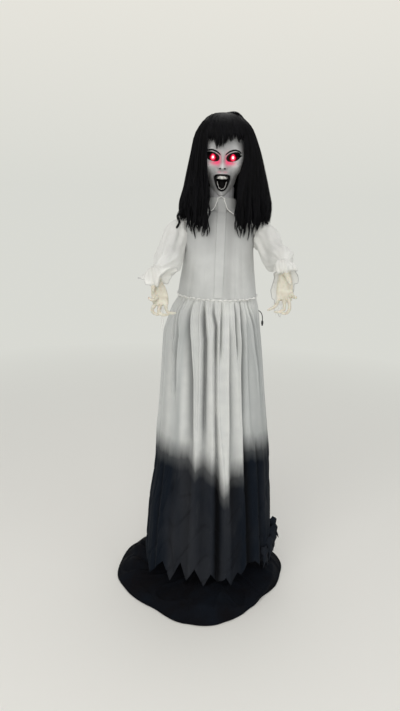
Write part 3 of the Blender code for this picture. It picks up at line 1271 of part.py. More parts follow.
def build_eyes():
    """Two red lens domes behind the eye holes, on a board of two lights that spans the mask."""
    face_front = Matrix.Rotation(math.radians(90.0), 4, "X")
    front = lens_front()
    hollow = LENS_RADIUS - LENS_WALL
    steps = 4
    outer = [(LENS_RADIUS * math.sin(math.radians(90.0 * step / steps)),
              LENS_RADIUS * math.cos(math.radians(90.0 * step / steps))) for step in range(steps + 1)]
    inner = [(hollow * math.sin(math.radians(90.0 * step / steps)),
              hollow * math.cos(math.radians(90.0 * step / steps))) for step in range(steps, -1, -1)]
    for side, sign in (("left", 1.0), ("right", -1.0)):
        place = Matrix.Translation((sign * EYE_SPACING_HALF, front + LENS_RADIUS, EYE_HEIGHT)) @ face_front
        add_piece("eye_lens_" + side, turned_mesh(tuple(outer + inner + outer[:1]), 14), RED_LENS, place)
        combine(bpy.data.objects["face_shell"], add_cutter("lens_room_cut_" + side, rod_mesh(
            (sign * EYE_SPACING_HALF, front + LENS_RADIUS, EYE_HEIGHT),
            (sign * EYE_SPACING_HALF, front + HEAD_WALL, EYE_HEIGHT), LENS_RADIUS + SEAT_GAP)))
    back = front + LENS_RADIUS + SEAT_GAP
    board = add_piece("eye_light_board", box_mesh(
        (-HEAD_HALF_WIDTH, back, EYE_HEIGHT - LIGHT_BOARD_HEIGHT),
        (HEAD_HALF_WIDTH, back + LIGHT_BOARD_THICKNESS, EYE_HEIGHT + LIGHT_BOARD_HEIGHT)), CIRCUIT)
    combine(board, add_cutter("board_edge_cut", head_mesh_inside()), "INTERSECT")
    for side, sign in (("left", 1.0), ("right", -1.0)):
        centre = sign * EYE_SPACING_HALF
        combine(board, add_cutter("eye_light_" + side, rod_mesh(
            (centre, back + LIGHT_BOARD_THICKNESS / 2, EYE_HEIGHT), (centre, back - LIGHT_LENGTH, EYE_HEIGHT),
            LIGHT_RADIUS, 10)), "UNION")


def head_mesh_inside():
    """The room inside the head's wall, a seat gap clear of it."""
    return head_mesh(-HEAD_WALL - SEAT_GAP * 2)


def mouth_bowl(inset, front, lead=0.0):
    """The rounded room behind the mouth, as a closed form that may start a little before its front."""
    rows = []
    depth = MOUTH_LINER_DEPTH - inset
    for share in MOUTH_BOWL_SHARES:
        size = math.sqrt(1 - share ** MOUTH_BOWL_ROUNDNESS)
        along = front + depth * share - (0.0 if share else lead)
        row = []
        for column in range(MOUTH_SIDES):
            angle = 2 * math.pi * column / MOUTH_SIDES
            row.append(Vector(((MOUTH_HALF_WIDTH + MOUTH_LINER_LIP - inset) * size * math.cos(angle), along,
                               MOUTH_HEIGHT + (MOUTH_HALF_HEIGHT + MOUTH_LINER_LIP - inset) * size
                               * math.sin(angle))))
        rows.append(row)
    return solid_mesh(rows)


def mouth_front():
    """A plane in front of the mouth, from which its liner reaches back."""
    return head_point(0.0, math.radians(MOUTH_FRONT_ELEVATION)).y


def build_mouth():
    """The dark liner behind the open mouth, with a row of teeth at its top and at its bottom."""
    front = mouth_front()
    liner = add_piece("mouth_liner", mouth_bowl(0.0, front), BLACK_PLASTIC, smooth_angle=60.0)
    combine(liner, add_cutter("mouth_room_cut", mouth_bowl(MOUTH_LINER_WALL, front, CUT_OVERRUN)))
    combine(liner, add_cutter("liner_face_cut", head_mesh_inside()), "INTERSECT")
    inner_width = MOUTH_HALF_WIDTH + MOUTH_LINER_LIP - MOUTH_LINER_WALL - SEAT_GAP
    inner_height = MOUTH_HALF_HEIGHT + MOUTH_LINER_LIP - MOUTH_LINER_WALL - SEAT_GAP
    for name, sign in (("upper_teeth", 1.0), ("lower_teeth", -1.0)):
        build_teeth(name, sign, front, inner_width, inner_height)


def build_teeth(name, sign, front, inner_width, inner_height):
    """A curved row of plain teeth, its root along the liner's wall."""
    rows = []
    columns = TOOTH_COUNT * 2 + 1
    for level in range(2):
        row = []
        for column in range(columns):
            share = column / (columns - 1) * 2 - 1
            across = inner_width * math.sin(share * math.radians(TOOTH_ARC)) * TOOTH_ARC_WIDTH_SHARE
            curve = TOOTH_FRONT_SHARE + TOOTH_CURVE_SHARE * share * share
            along = front + HEAD_WALL * 2 + MOUTH_LINER_DEPTH * curve
            size = math.sqrt(max(0.0, 1 - ((along - front) / MOUTH_LINER_DEPTH) ** MOUTH_BOWL_ROUNDNESS))
            root = inner_height * size * math.sqrt(max(0.0, 1 - (across / (inner_width * size)) ** 2))
            tip = TOOTH_BAND + TOOTH_DROP * (column % 2)
            drop = 0.0 if level == 0 else tip
            row.append(Vector((across * sign, along, MOUTH_HEIGHT + sign * (root - drop - SEAT_GAP))))
        rows.append(row)
    teeth = add_piece(name, sheet_mesh(rows, closed=False), TOOTH)
    thicken(teeth, TOOTH_THICKNESS)
    seat = mouth_bowl(MOUTH_LINER_WALL + SEAT_GAP * 2, front)
    combine(teeth, add_cutter(name + "_seat_cut", seat), "INTERSECT")


def build_head_inside():
    """The plate across the head that its shells are screwed to, with the boss on the neck's shaft."""
    reach = HEAD_HALF_DEPTH * 2
    mount = add_piece("head_mount", box_mesh(
        (-reach, -MOUNT_FRONT, MOUNT_HEIGHT), (reach, reach, MOUNT_HEIGHT + MOUNT_THICKNESS)), GREY_PLASTIC)
    combine(mount, add_cutter("mount_edge_cut", head_mesh_inside()), "INTERSECT")
    combine(mount, add_cutter("mount_boss", rod_mesh(
        (0.0, 0.0, MOUNT_HEIGHT), (0.0, 0.0, MOUNT_HEIGHT + MOUNT_BOSS_HEIGHT + MOUNT_THICKNESS),
        MOUNT_BOSS_RADIUS)), "UNION")
    combine(mount, add_cutter("mount_shaft_cut", rod_mesh(
        (0.0, 0.0, MOUNT_HEIGHT - CUT_OVERRUN), (0.0, 0.0, MOUNT_HEIGHT + MOUNT_BOSS_HEIGHT + SEAT_GAP),
        UPPER_JOURNAL_RADIUS + SEAT_GAP)))
    add_piece("neck_skin", turned_mesh(tube_profile(NECK_RADIUS, NECK_WALL, NECK_FOOT, NECK_TOP), 20), SKIN)


def wig_low_elevation(azimuth):
    """The elevation to which the cap's form runs before its lower edge is cut level."""
    height = FRINGE_HEIGHT - WIG_CUT_OVERLAP
    elevation = 0.0
    for _ in range(12):
        radius = head_radius(azimuth, elevation, 0.0) + WIG_THICKNESS
        elevation = math.asin((height - HEAD_CENTRE_HEIGHT) / radius)
    return elevation


def build_wig_cap():
    """The wig's cap with its fringe over the forehead."""
    rows = []
    for row in range(WIG_ROWS + 1):
        share = row / WIG_ROWS
        line = []
        for column in range(WIG_COLUMNS):
            azimuth = 2 * math.pi * column / WIG_COLUMNS - math.pi
            low = wig_low_elevation(azimuth)
            high = math.radians(WIG_TOP_ELEVATION)
            elevation = high + (low - high) * share
            front = 1 - ramp(math.degrees(abs(azimuth)), FRINGE_FULL_AZIMUTH, FRINGE_END_AZIMUTH)
            lift = FRINGE_LIFT * front * ramp(share, FRINGE_LIFT_START_SHARE, 1.0)
            line.append(head_point(azimuth, elevation, WIG_THICKNESS + lift, 0.0))
        rows.append(line)
    top = Vector((0.0, 0.0, HEAD_CENTRE_HEIGHT + HEAD_RISE + WIG_THICKNESS))
    mesh = sheet_mesh(rows)
    form = bmesh.new()
    form.from_mesh(mesh)
    form.verts.ensure_lookup_table()
    middle = form.verts.new(top)
    form.verts.ensure_lookup_table()
    for column in range(WIG_COLUMNS):
        form.faces.new((middle, form.verts[column], form.verts[(column + 1) % WIG_COLUMNS]))
    form.to_mesh(mesh)
    form.free()
    cap = add_piece("wig_cap", mesh, HAIR, smooth_angle=60.0)
    thicken(cap, WIG_THICKNESS - WIG_INNER_GAP)
    reach = HEAD_HALF_DEPTH * 2
    foot = HEAD_CENTRE_HEIGHT - HEAD_DROP
    fringe_half = HAIR_PARTING_HALF - HAIR_THICKNESS
    for name, low, high in (
            ("fringe_edge_cut", (-reach, -reach, foot), (reach, reach, FRINGE_HEIGHT)),
            ("weft_cut_left", (fringe_half, -reach, foot), (reach, reach, WEFT_HEIGHT)),
            ("weft_cut_right", (-reach, -reach, foot), (-fringe_half, reach, WEFT_HEIGHT)),
            ("weft_cut_rear", (-reach, 0.0, foot), (reach, reach, WEFT_HEIGHT))):
        combine(cap, add_cutter(name, box_mesh(low, high)))


def hair_end(azimuth):
    """The height at which the hair ends: long in front and behind, short on the shoulder."""
    degrees = math.degrees(azimuth)
    shoulder = ramp(degrees, *SHOULDER_AZIMUTHS)
    behind = ramp(degrees, *NAPE_AZIMUTHS)
    end = HAIR_FRONT_END + (HAIR_SHOULDER_END - HAIR_FRONT_END) * shoulder
    return end + (HAIR_BACK_END - end) * behind


def hair_point(share, part, sign, spread_share):
    """A point on a side's hair: share goes down the hair, part from the face to the nape."""
    top = WEFT_HEIGHT - SEAT_GAP
    rough = math.radians(HAIR_FIRST_AZIMUTH + (180.0 - HAIR_FIRST_AZIMUTH) * part)
    height = top + (hair_end(rough) - top) * share
    fall = (top - height) / (top - HAIR_FRONT_END)
    swell = math.sqrt(1 - (max(0.0, height - HEAD_CENTRE_HEIGHT) / HEAD_RISE) ** 2)
    side = HEAD_HALF_WIDTH * swell + WIG_THICKNESS
    ends = HEAD_HALF_DEPTH * swell + WIG_THICKNESS
    half_width = side + HAIR_SPREAD * read_share(HAIR_SHARES, fall, 1) * spread_share
    front_depth = ends + HAIR_FORWARD * read_share(HAIR_SHARES, fall, 2)
    rear_depth = ends + (HAIR_REAR_DEPTH - HEAD_HALF_DEPTH) * read_share(HAIR_SHARES, fall, 2)
    inner = math.asin((HAIR_PARTING_HALF + SEAT_GAP) / half_width)
    rear = math.pi - HAIR_SEAM_GAP / half_width
    azimuth = inner + (rear - inner) * part
    growth = ramp(share, 0.0, HAIR_WAVE_START_SHARE)
    wave = HAIR_WAVE * math.cos(2 * math.pi * HAIR_WAVE_TURNS * part) * growth
    depth = front_depth if azimuth < math.pi / 2 else rear_depth
    return Vector((sign * (half_width + wave) * math.sin(azimuth),
                   -(depth + wave) * math.cos(azimuth), height))


def build_hair():
    """The long hair at each side, from the face round to the nape."""
    for side, sign, spread_share in (("left", 1.0, HAIR_LEFT_SPREAD_SHARE),
                                     ("right", -1.0, HAIR_RIGHT_SPREAD_SHARE)):
        rows = []
        for row in range(HAIR_ROWS + 1):
            line = [hair_point(row / HAIR_ROWS, column / (HAIR_COLUMNS - 1), sign, spread_share)
                    for column in range(HAIR_COLUMNS)]
            rows.append(line if sign > 0 else list(reversed(line)))
        hair = add_piece("hair_" + side, sheet_mesh(rows, closed=False), HAIR, smooth_angle=60.0)
        thicken(hair, HAIR_THICKNESS)


def build_control_box():
    """The control box: cells behind a sliding door above, circuit and speaker behind a panel below."""
    front = BOX_BACK + BOX_DEPTH
    box = add_piece("control_box", box_mesh((BOX_BACK, -BOX_HALF_WIDTH, BOX_FOOT),
                                            (front, BOX_HALF_WIDTH, BOX_TOP)),
                    BLACK_PLASTIC)
    boss_place = Vector(LEAD_ROUTE[0])
    combine(box, add_cutter("lead_boss", rod_mesh(
        (boss_place.x, BOX_HALF_WIDTH - BOX_WALL / 2, boss_place.z),
        (boss_place.x, BOX_HALF_WIDTH + LEAD_BOSS_LENGTH, boss_place.z), LEAD_BOSS_RADIUS, 12)), "UNION")
    inner = BOX_HALF_WIDTH - BOX_WALL
    combine(box, add_cutter("cell_bay_cut", box_mesh(
        (BOX_BACK + BOX_WALL, -inner, BOX_SHELF + BOX_WALL),
        (front + CUT_OVERRUN, inner, BOX_TOP - BOX_WALL))))
    combine(box, add_cutter("circuit_bay_cut", box_mesh(
        (BOX_BACK + BOX_WALL, -inner, BOX_FOOT + BOX_WALL), (front + CUT_OVERRUN, inner, BOX_SHELF))))
    groove_low = front - DOOR_SETBACK - DOOR_THICKNESS - SEAT_GAP * 2
    combine(box, add_cutter("door_groove_cut", box_mesh(
        (groove_low, -inner - GROOVE_DEPTH, BOX_SHELF + BOX_WALL),
        (front - DOOR_SETBACK + SEAT_GAP, inner + GROOVE_DEPTH, BOX_TOP + CUT_OVERRUN))))
    build_door(front, inner)
    build_cells(inner)
    build_panel(front, inner)
    build_electronics(front)


def build_door(front, inner):
    """The door that slides up out of its grooves to free the cells."""
    outer = front - DOOR_SETBACK
    low = BOX_SHELF + BOX_WALL + SEAT_GAP
    half = inner + GROOVE_DEPTH - SEAT_GAP
    door = add_piece("battery_door", box_mesh(
        (outer - DOOR_THICKNESS, -half, low), (outer, half, BOX_TOP)), BLACK_PLASTIC)
    grip_low = BOX_TOP - BOX_WALL * 3
    combine(door, add_cutter("door_grip", box_mesh(
        (outer - DOOR_THICKNESS / 2, -inner / 2, grip_low),
        (outer + DOOR_GRIP, inner / 2, grip_low + BOX_WALL))),
        "UNION")


def build_cells(inner):
    """Three cells side by side, upright on the shelf."""
    low = BOX_SHELF + BOX_WALL + SEAT_GAP
    high = low + CELL_LENGTH - CELL_NIP_HEIGHT
    profile = ((0.0, high + CELL_NIP_HEIGHT), (CELL_NIP_RADIUS, high + CELL_NIP_HEIGHT),
               (CELL_NIP_RADIUS, high),
               (CELL_RADIUS, high), (CELL_RADIUS, low), (0.0, low))
    spacing = (inner * 2 - SEAT_GAP * 2 - CELL_RADIUS * 2) / 2
    for number in range(3):
        depth = BOX_BACK + BOX_WALL + SEAT_GAP + CELL_RADIUS
        place = Matrix.Translation((depth, spacing * (number - 1), 0.0))
        add_piece("battery_" + str(number + 1), turned_mesh(profile, 12), STEEL, place)


def build_panel(front, inner):
    """The fixed panel with slots for the speaker and one for the switch, and the switch in it."""
    low = BOX_FOOT + BOX_WALL + SEAT_GAP
    high = BOX_SHELF - SEAT_GAP
    back = front - BOX_WALL
    panel = add_piece("control_panel", box_mesh((back, -inner + SEAT_GAP, low),
                                                (front, inner - SEAT_GAP, high)),
                      BLACK_PLASTIC)
    middle = (low + high) / 2
    pitch = SPEAKER_RADIUS * 2 / (SPEAKER_SLOTS + 1)
    for number in range(SPEAKER_SLOTS):
        height = middle + (number - (SPEAKER_SLOTS - 1) / 2) * pitch
        half = math.sqrt((SPEAKER_RADIUS * SPEAKER_SLOTS_WIDTH_SHARE) ** 2 - (height - middle) ** 2)
        combine(panel, add_cutter("speaker_slot_cut_" + str(number + 1), box_mesh(
            (back - CUT_OVERRUN, -SPEAKER_OFFSET - half, height - pitch / 4),
            (front + CUT_OVERRUN, -SPEAKER_OFFSET + half, height + pitch / 4))))
    slot_half = SWITCH_SIZE / 2 + SEAT_GAP
    combine(panel, add_cutter("switch_slot_cut", box_mesh(
        (back - CUT_OVERRUN, SWITCH_OFFSET - slot_half, middle - slot_half - SWITCH_TRAVEL / 2),
        (front + CUT_OVERRUN, SWITCH_OFFSET + slot_half, middle + slot_half + SWITCH_TRAVEL / 2))))
    low_switch = middle - SWITCH_TRAVEL / 2 - SWITCH_SIZE / 2
    switch = add_piece("power_switch", box_mesh(
        (back - BOX_WALL, SWITCH_OFFSET - SWITCH_SIZE / 2, low_switch),
        (front + SWITCH_STAND, SWITCH_OFFSET + SWITCH_SIZE / 2, low_switch + SWITCH_SIZE)), WHITE_PLASTIC)
    foot_half = SWITCH_SIZE * SWITCH_FOOT_SHARE
    combine(switch, add_cutter("switch_foot", box_mesh(
        (back - BOX_WALL, SWITCH_OFFSET - foot_half, low_switch), (back - SEAT_GAP, SWITCH_OFFSET + foot_half,
                                                                 low_switch + SWITCH_SIZE))), "UNION")


def build_electronics(front):
    """The speaker behind its slots, and the circuit board with the post that the switch rides on."""
    low = BOX_FOOT + BOX_WALL
    middle = (low + BOX_SHELF) / 2
    face = front - BOX_WALL - SEAT_GAP
    cone_radius, cone_depth = SPEAKER_CONE_SHARES
    magnet_radius, rim_depth, frame_depth = SPEAKER_MAGNET_SHARES
    magnet = SPEAKER_RADIUS * magnet_radius
    profile = ((0.0, -SPEAKER_DEPTH * cone_depth), (SPEAKER_RADIUS * cone_radius, 0.0), (SPEAKER_RADIUS, 0.0),
               (SPEAKER_RADIUS, -SPEAKER_DEPTH * rim_depth), (magnet, -SPEAKER_DEPTH * frame_depth),
               (magnet, -SPEAKER_DEPTH), (0.0, -SPEAKER_DEPTH))
    add_piece("speaker", turned_mesh(profile, 16), GREY_PLASTIC,
              Matrix.Translation((face, -SPEAKER_OFFSET, middle))
              @ Matrix.Rotation(math.radians(90.0), 4, "Y"))
    inner = BOX_HALF_WIDTH - BOX_WALL - SEAT_GAP
    board_low = BOX_BACK + BOX_WALL + SEAT_GAP
    board = add_piece("circuit_board", box_mesh(
        (board_low, -inner, low + SEAT_GAP),
        (board_low + BOARD_THICKNESS, inner, BOX_SHELF - SEAT_GAP)), CIRCUIT)
    chip_across, chip_up = [inner * share for share in CHIP_SHARES]
    combine(board, add_cutter("board_chip", box_mesh(
        (board_low + BOARD_THICKNESS / 2, -chip_across, middle - chip_up),
        (board_low + BOARD_THICKNESS * 2, chip_across, middle + chip_up))), "UNION")
    combine(board, add_cutter("switch_post", box_mesh(
        (board_low + BOARD_THICKNESS / 2, SWITCH_OFFSET - SWITCH_SIZE, middle - SWITCH_SIZE),
        (front - BOX_WALL * 2 - SEAT_GAP, SWITCH_OFFSET + SWITCH_SIZE, middle + SWITCH_SIZE))), "UNION")


def build_lead():
    """The lead from the box's boss through an eyelet in the skirt, hanging down to its connector."""
    points = even_path(LEAD_ROUTE, LEAD_RADIUS * 2 * LEAD_STEP_SHARE)
    add_piece("lead_cord", swept_mesh(points, [LEAD_RADIUS] * len(points), 2), BLACK_PLASTIC,
              smooth_angle=60.0)
    place = Vector(EYELET_PLACE)
    half = EYELET_LENGTH / 2
    profile = ((EYELET_HOLE_RADIUS, half), (EYELET_FLANGE, half), (EYELET_FLANGE, half - CLOTH_THICKNESS),
               (EYELET_RADIUS, half - CLOTH_THICKNESS), (EYELET_RADIUS, -half), (EYELET_HOLE_RADIUS, -half),
               (EYELET_HOLE_RADIUS, half))
    add_piece("lead_eyelet", turned_mesh(profile, 12), STEEL,
              Matrix.Translation(place) @ Matrix.Rotation(math.radians(90.0), 4, "Y"))
    end = Vector(LEAD_ROUTE[-1])
    hang = (end - Vector(LEAD_ROUTE[-2])).normalized()
    upright = Matrix.Translation(end + hang * SEAT_GAP) @ (-hang).to_track_quat("Z", "Y").to_matrix().to_4x4()
    body = CONNECTOR_LENGTH - CONNECTOR_TIP_LENGTH
    neck_radius, taper = CONNECTOR_TAPER_SHARES
    profile = ((0.0, 0.0), (CONNECTOR_RADIUS * neck_radius, 0.0), (CONNECTOR_RADIUS, -body * taper),
               (CONNECTOR_RADIUS, -body), (CONNECTOR_TIP_RADIUS, -body),
               (CONNECTOR_TIP_RADIUS, -CONNECTOR_LENGTH), (0.0, -CONNECTOR_LENGTH))
    add_piece("lead_connector", turned_mesh(profile, 12), BLACK_PLASTIC, upright)


def build_figure():
    """Build the stand, then the body on it, the arms and the head."""
    build_hub()
    build_legs()
    build_pole()
    build_cover()
    waist_foot = build_waist_drive()
    build_frame(waist_foot)
    build_neck_drive()
    build_chest()
    build_bodice()
    build_collar()
    build_skirt()
    build_control_box()
    build_lead()
    build_arms()
    build_head_shells()
    build_eyes()
    build_mouth()
    build_head_inside()
    build_wig_cap()
    build_hair()


clear_scene()
PIECES = new_collection("animated_ghost_figure")
CUTTERS = new_collection("cutters")
build_figure()
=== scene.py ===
"""The visual model of a standing animated ghost figure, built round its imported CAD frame.

Metres, +Z up. The figure faces -Y, so its own left is at +X, the viewer's right.
"""

import math

import bmesh
import bpy
import numpy as np
from mathutils import Matrix, Vector


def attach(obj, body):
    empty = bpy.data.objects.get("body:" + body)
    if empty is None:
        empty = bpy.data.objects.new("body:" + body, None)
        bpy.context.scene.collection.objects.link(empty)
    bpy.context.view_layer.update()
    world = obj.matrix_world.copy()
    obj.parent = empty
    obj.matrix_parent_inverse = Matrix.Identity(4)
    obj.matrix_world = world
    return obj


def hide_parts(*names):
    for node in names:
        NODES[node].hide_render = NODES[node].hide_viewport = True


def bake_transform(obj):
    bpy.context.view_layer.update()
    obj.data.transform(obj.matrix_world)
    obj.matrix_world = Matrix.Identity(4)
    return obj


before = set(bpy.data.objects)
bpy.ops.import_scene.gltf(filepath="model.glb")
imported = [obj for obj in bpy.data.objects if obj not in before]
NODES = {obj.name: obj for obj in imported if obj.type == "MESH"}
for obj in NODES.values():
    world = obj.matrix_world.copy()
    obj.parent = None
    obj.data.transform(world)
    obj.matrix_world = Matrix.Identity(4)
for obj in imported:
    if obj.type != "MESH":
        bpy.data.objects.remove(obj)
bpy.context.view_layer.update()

# Camera and studio: pixels, sensor in millimetres, places in metres, angles in degrees
IMAGE_HEIGHT = 711
FOCAL_PIXELS = 600
SENSOR = 36.0
CAMERA_PLACE = (0.0, -1.85, 1.3)
CAMERA_PITCH = 15.4
CAMERA_YAW = 1.43
CAMERA_ROLL = 2.08
FLOOR_HALF = 14.0
FLOOR_COLOUR = (0.86, 0.85, 0.81)
HORIZON_COLOUR = (0.69, 0.695, 0.65)
SKY_COLOUR = (0.79, 0.775, 0.715)
AMBIENT_STRENGTH = 0.46

# Dress body, from the waist seam to the neck opening: share of the way up, half width, half depth
WAIST = 0.975
NECK_OPENING = 1.243
TORSO = ((0.0, 0.121, 0.088), (0.2, 0.115, 0.0871), (0.42, 0.108, 0.0862), (0.6, 0.1037, 0.0836),
         (0.8, 0.1037, 0.0722), (0.86, 0.103, 0.0686), (0.915, 0.0968, 0.0616), (0.96, 0.0726, 0.0546),
         (1.0, 0.046, 0.0458))
SHOULDER = 1.172
ARMHOLE = 0.033
ARMHOLE_PLACE = 0.1046
NECK_RADIUS = 0.0447
DRESS_THICKNESS = 0.0009

# Skirt: share of the way down, half width on the figure's left and right, half depth
SKIRT = ((0.0, 0.1205, 0.1195, 0.0878), (0.012, 0.124, 0.125, 0.0925), (0.04, 0.1285, 0.138, 0.1003),
         (0.08, 0.1325, 0.151, 0.112), (0.12, 0.138, 0.16, 0.1206), (0.27, 0.157, 0.1635, 0.1294),
         (0.55, 0.189, 0.177, 0.1478), (0.8, 0.211, 0.2035, 0.1672), (1.0, 0.222, 0.2135, 0.176))
SKIRT_TOP = 0.9775
SKIRT_FOOT = 0.06
SKIRT_SQUARENESS = 2.2
FOLD_RADIUS = 0.165
# How deep a fold valley is where its painted shade is full
VALLEY_SHADE_DEPTH = 0.013
DYE_BAND = 0.15
WAIST_LINE = 0.986
WAIST_RISE = 0.006
# Folds in front: their places (height, angle), depths (height, depth), half widths towards -X and +X
FRONT_FOLDS = (
    (((0.94, -72), (0.6, -76), (0.06, -73)), ((0.95, 0), (0.9, 0.006), (0.06, 0.006)), 0.006, 0.006),
    (((0.96, -50.8), (0.92, -46), (0.875, -40.5), (0.8, -41.8), (0.7, -43.5)),
     ((0.985, 0.004), (0.94, 0.016), (0.78, 0.016), (0.71, 0.005), (0.66, 0)), 0.0055, 0.004),
    (((0.965, -60), (0.92, -56), (0.86, -49), (0.78, -47)),
     ((0.985, 0.003), (0.93, 0.009), (0.82, 0.007), (0.76, 0)), 0.004, 0.004),
    (((0.9625, -34.2), (0.8645, -25.8), (0.7515, -21.5), (0.6325, -19.5), (0.5395, -18.2), (0.06, -15)),
     ((0.985, 0.004), (0.93, 0.015), (0.6, 0.015), (0.5, 0.008), (0.06, 0.006)), 0.017, 0.004),
    (((0.9705, -16.5), (0.868, -9.8), (0.7555, -8.5), (0.6365, -7.5), (0.544, -6.2), (0.06, -4)),
     ((0.985, 0.004), (0.94, 0.015), (0.62, 0.014), (0.5, 0.007), (0.06, 0.003)), 0.005, 0.008),
    (((0.9495, -2.8), (0.9105, 0.5), (0.858, 0.8), (0.7575, 1.8), (0.639, 3.2), (0.5785, 4.2), (0.4325, 6.6),
      (0.2995, 7.6), (0.1605, 8.6), (0.06, 9)),
     ((0.98, 0.003), (0.93, 0.011), (0.85, 0.011), (0.78, 0.007), (0.66, 0.007), (0.56, 0.013), (0.45, 0.021),
      (0.15, 0.021), (0.06, 0.016)), 0.0035, 0.0035),
    (((0.976, 6), (0.78, 6.2)), ((0.98, 0.003), (0.93, 0.007), (0.85, 0.006), (0.79, 0)), 0.003, 0.003),
    (((0.9025, 17.8), (0.758, 17.5), (0.626, 18.2), (0.464, 19), (0.365, 20.2), (0.2285, 21.8), (0.06, 23)),
     ((0.95, 0), (0.88, 0.006), (0.6, 0.009), (0.45, 0.011), (0.06, 0.005)), 0.003, 0.016),
    (((0.9765, 23.8), (0.931, 25.5), (0.87, 26.8), (0.79, 27.5)),
     ((0.98, 0.003), (0.93, 0.009), (0.86, 0.008), (0.79, 0)), 0.0035, 0.0035),
    (((0.9805, 32.8), (0.8695, 32.5), (0.756, 31.5), (0.6355, 32.2), (0.541, 33.8), (0.4245, 36.2),
      (0.288, 37.8), (0.144, 39.8), (0.06, 41)),
     ((0.985, 0.005), (0.93, 0.017), (0.75, 0.015), (0.62, 0.009), (0.55, 0.011), (0.45, 0.019), (0.12, 0.017),
      (0.06, 0.01)), 0.004, 0.009),
    (((0.967, 47.2), (0.905, 57), (0.85, 58.8), (0.7685, 63.8), (0.6, 68)),
     ((0.975, 0.006), (0.93, 0.015), (0.8, 0.012), (0.7, 0.005), (0.62, 0)), 0.005, 0.006),
    (((0.56, 51.5), (0.412, 52.5), (0.2725, 53.5), (0.1225, 56.5), (0.06, 57)),
     ((0.56, 0), (0.5, 0.01), (0.3, 0.014), (0.06, 0.01)), 0.005, 0.006),
    (((0.5, -56), (0.06, -52)), ((0.5, 0), (0.42, 0.006), (0.06, 0.006)), 0.0035, 0.004),
    (((0.5, -40), (0.3, -35), (0.06, -34)), ((0.5, 0), (0.4, 0.005), (0.2, 0.005), (0.06, 0)), 0.004, 0.007))
# Valleys widen in the dyed part: height, factor
FOLD_WIDENING = ((0.985, 0.6), (0.94, 0.9), (0.6, 1.0), (0.45, 1.8), (0.06, 2.0))
# Tones of the skirt: painted shade at each angle round it (angle, share), and where the dye is charcoal, not black
SIDE_SHADE = ((-180, 0.25), (-80, 0.62), (-66, 0.58), (-56, 0.36), (-50, 0.4), (-44, 0.8), (-34, 0.95), (-30, 0.2),
          (-22, 0.1), (-18, 0.35), (-14, 0.12), (0, 0.04), (9, 0.0), (17, 0.05), (20, 0.16), (31, 0.28), (34, 0.86),
          (45, 0.8), (55, 0.92), (66, 0.95), (90, 0.6), (180, 0.25))
CHARCOAL = ((-180, 0.3), (-75, 0.1), (-64, 0.0), (-52, 0.0), (-42, 0.0), (-34, 0.75), (-12, 0.95), (-2, 0.8),
            (5, 0.25), (9, 0.1), (12, 0.55), (18, 0.7), (22, 0.35), (30, 0.25), (33, 0.02), (48, 0.0), (60, 0.15),
            (80, 0.45), (180, 0.3))
# Teeth of the ragged hem: angle, height
HEM_TIPS = ((-59.5, 0.0495), (-30.8, 0.0625), (-15.2, 0.0745), (-0.8, 0.0625), (9.2, 0.072), (20.8, 0.064),
            (30.8, 0.0955), (39.0, 0.117), (55.2, 0.1025), (68.0, 0.085))
HEM_VALLEYS = ((-66.8, 0.105), (-39.5, 0.1255), (-21.2, 0.1375), (-7.8, 0.1215), (3.5, 0.113), (15.5, 0.0995),
               (27.2, 0.1065), (35.0, 0.1305), (46.5, 0.1325), (61.5, 0.135))
# Where the dye ends: angle, height at which the white is half gone
DYE_EDGE = ((-180, 0.5), (-110, 0.515), (-66, 0.52), (-47, 0.5235), (-37, 0.52), (-21, 0.522), (-17.5, 0.506),
            (-12, 0.487), (-8.5, 0.5), (-5, 0.502), (-0.5, 0.487), (4, 0.48), (7, 0.452), (9.0, 0.42),
            (12.0, 0.408), (17, 0.4085), (18.8, 0.455), (20.5, 0.466), (25, 0.469), (31.5, 0.476), (34, 0.545),
            (41, 0.5555), (51, 0.544), (64, 0.539), (110, 0.52), (180, 0.5))


# Small mathematics

def ramp(value, low, high):
    """Rises smoothly from 0 at low to 1 at high."""
    part = np.clip((np.asarray(value, float) - low) / (high - low), 0.0, 1.0)
    return part * part * (3 - 2 * part)


def curve(table, value, column=1):
    """Reads a column of a table with a smooth line that never overshoots its rows."""
    rows = np.array([[row[0], row[column]] for row in table], float)
    xs, ys = rows[:, 0], rows[:, 1]
    slopes = np.diff(ys) / np.diff(xs)
    tangents = np.zeros(len(xs))
    both = slopes[:-1] * slopes[1:] > 0
    tangents[1:-1][both] = 2 * slopes[:-1][both] * slopes[1:][both] / (slopes[:-1][both] + slopes[1:][both])
    tangents[0], tangents[-1] = slopes[0], slopes[-1]
    value = np.clip(np.asarray(value, float), xs[0], xs[-1])
    cell = np.clip(np.searchsorted(xs, value, side="right") - 1, 0, len(xs) - 2)
    width = xs[cell + 1] - xs[cell]
    part = (value - xs[cell]) / width
    square, cube = part ** 2, part ** 3
    return ((2 * cube - 3 * square + 1) * ys[cell] + (cube - 2 * square + part) * width * tangents[cell]
            + (3 * square - 2 * cube) * ys[cell + 1] + (cube - square) * width * tangents[cell + 1])


def oval(angle, half_width, half_depth, squareness):
    """A point on a squared oval; the angle is measured from +X towards +Y."""
    cosine, sine = np.cos(angle), np.sin(angle)
    return (np.sign(cosine) * np.abs(cosine) ** (2 / squareness) * half_width,
            np.sign(sine) * np.abs(sine) ** (2 / squareness) * half_depth)


def read_table(table, value):
    """Reads a table of two columns along straight lines."""
    return np.interp(value, *zip(*table))


def round_angles(count):
    """Evenly spaced angles once round."""
    return np.linspace(0, 2 * math.pi, count, endpoint=False)


def spot(x, z, place_x, place_z, wide, tall):
    """A smooth hump of height 1 at a place."""
    return np.exp(-((x - place_x) / wide) ** 2 - ((z - place_z) / tall) ** 2)


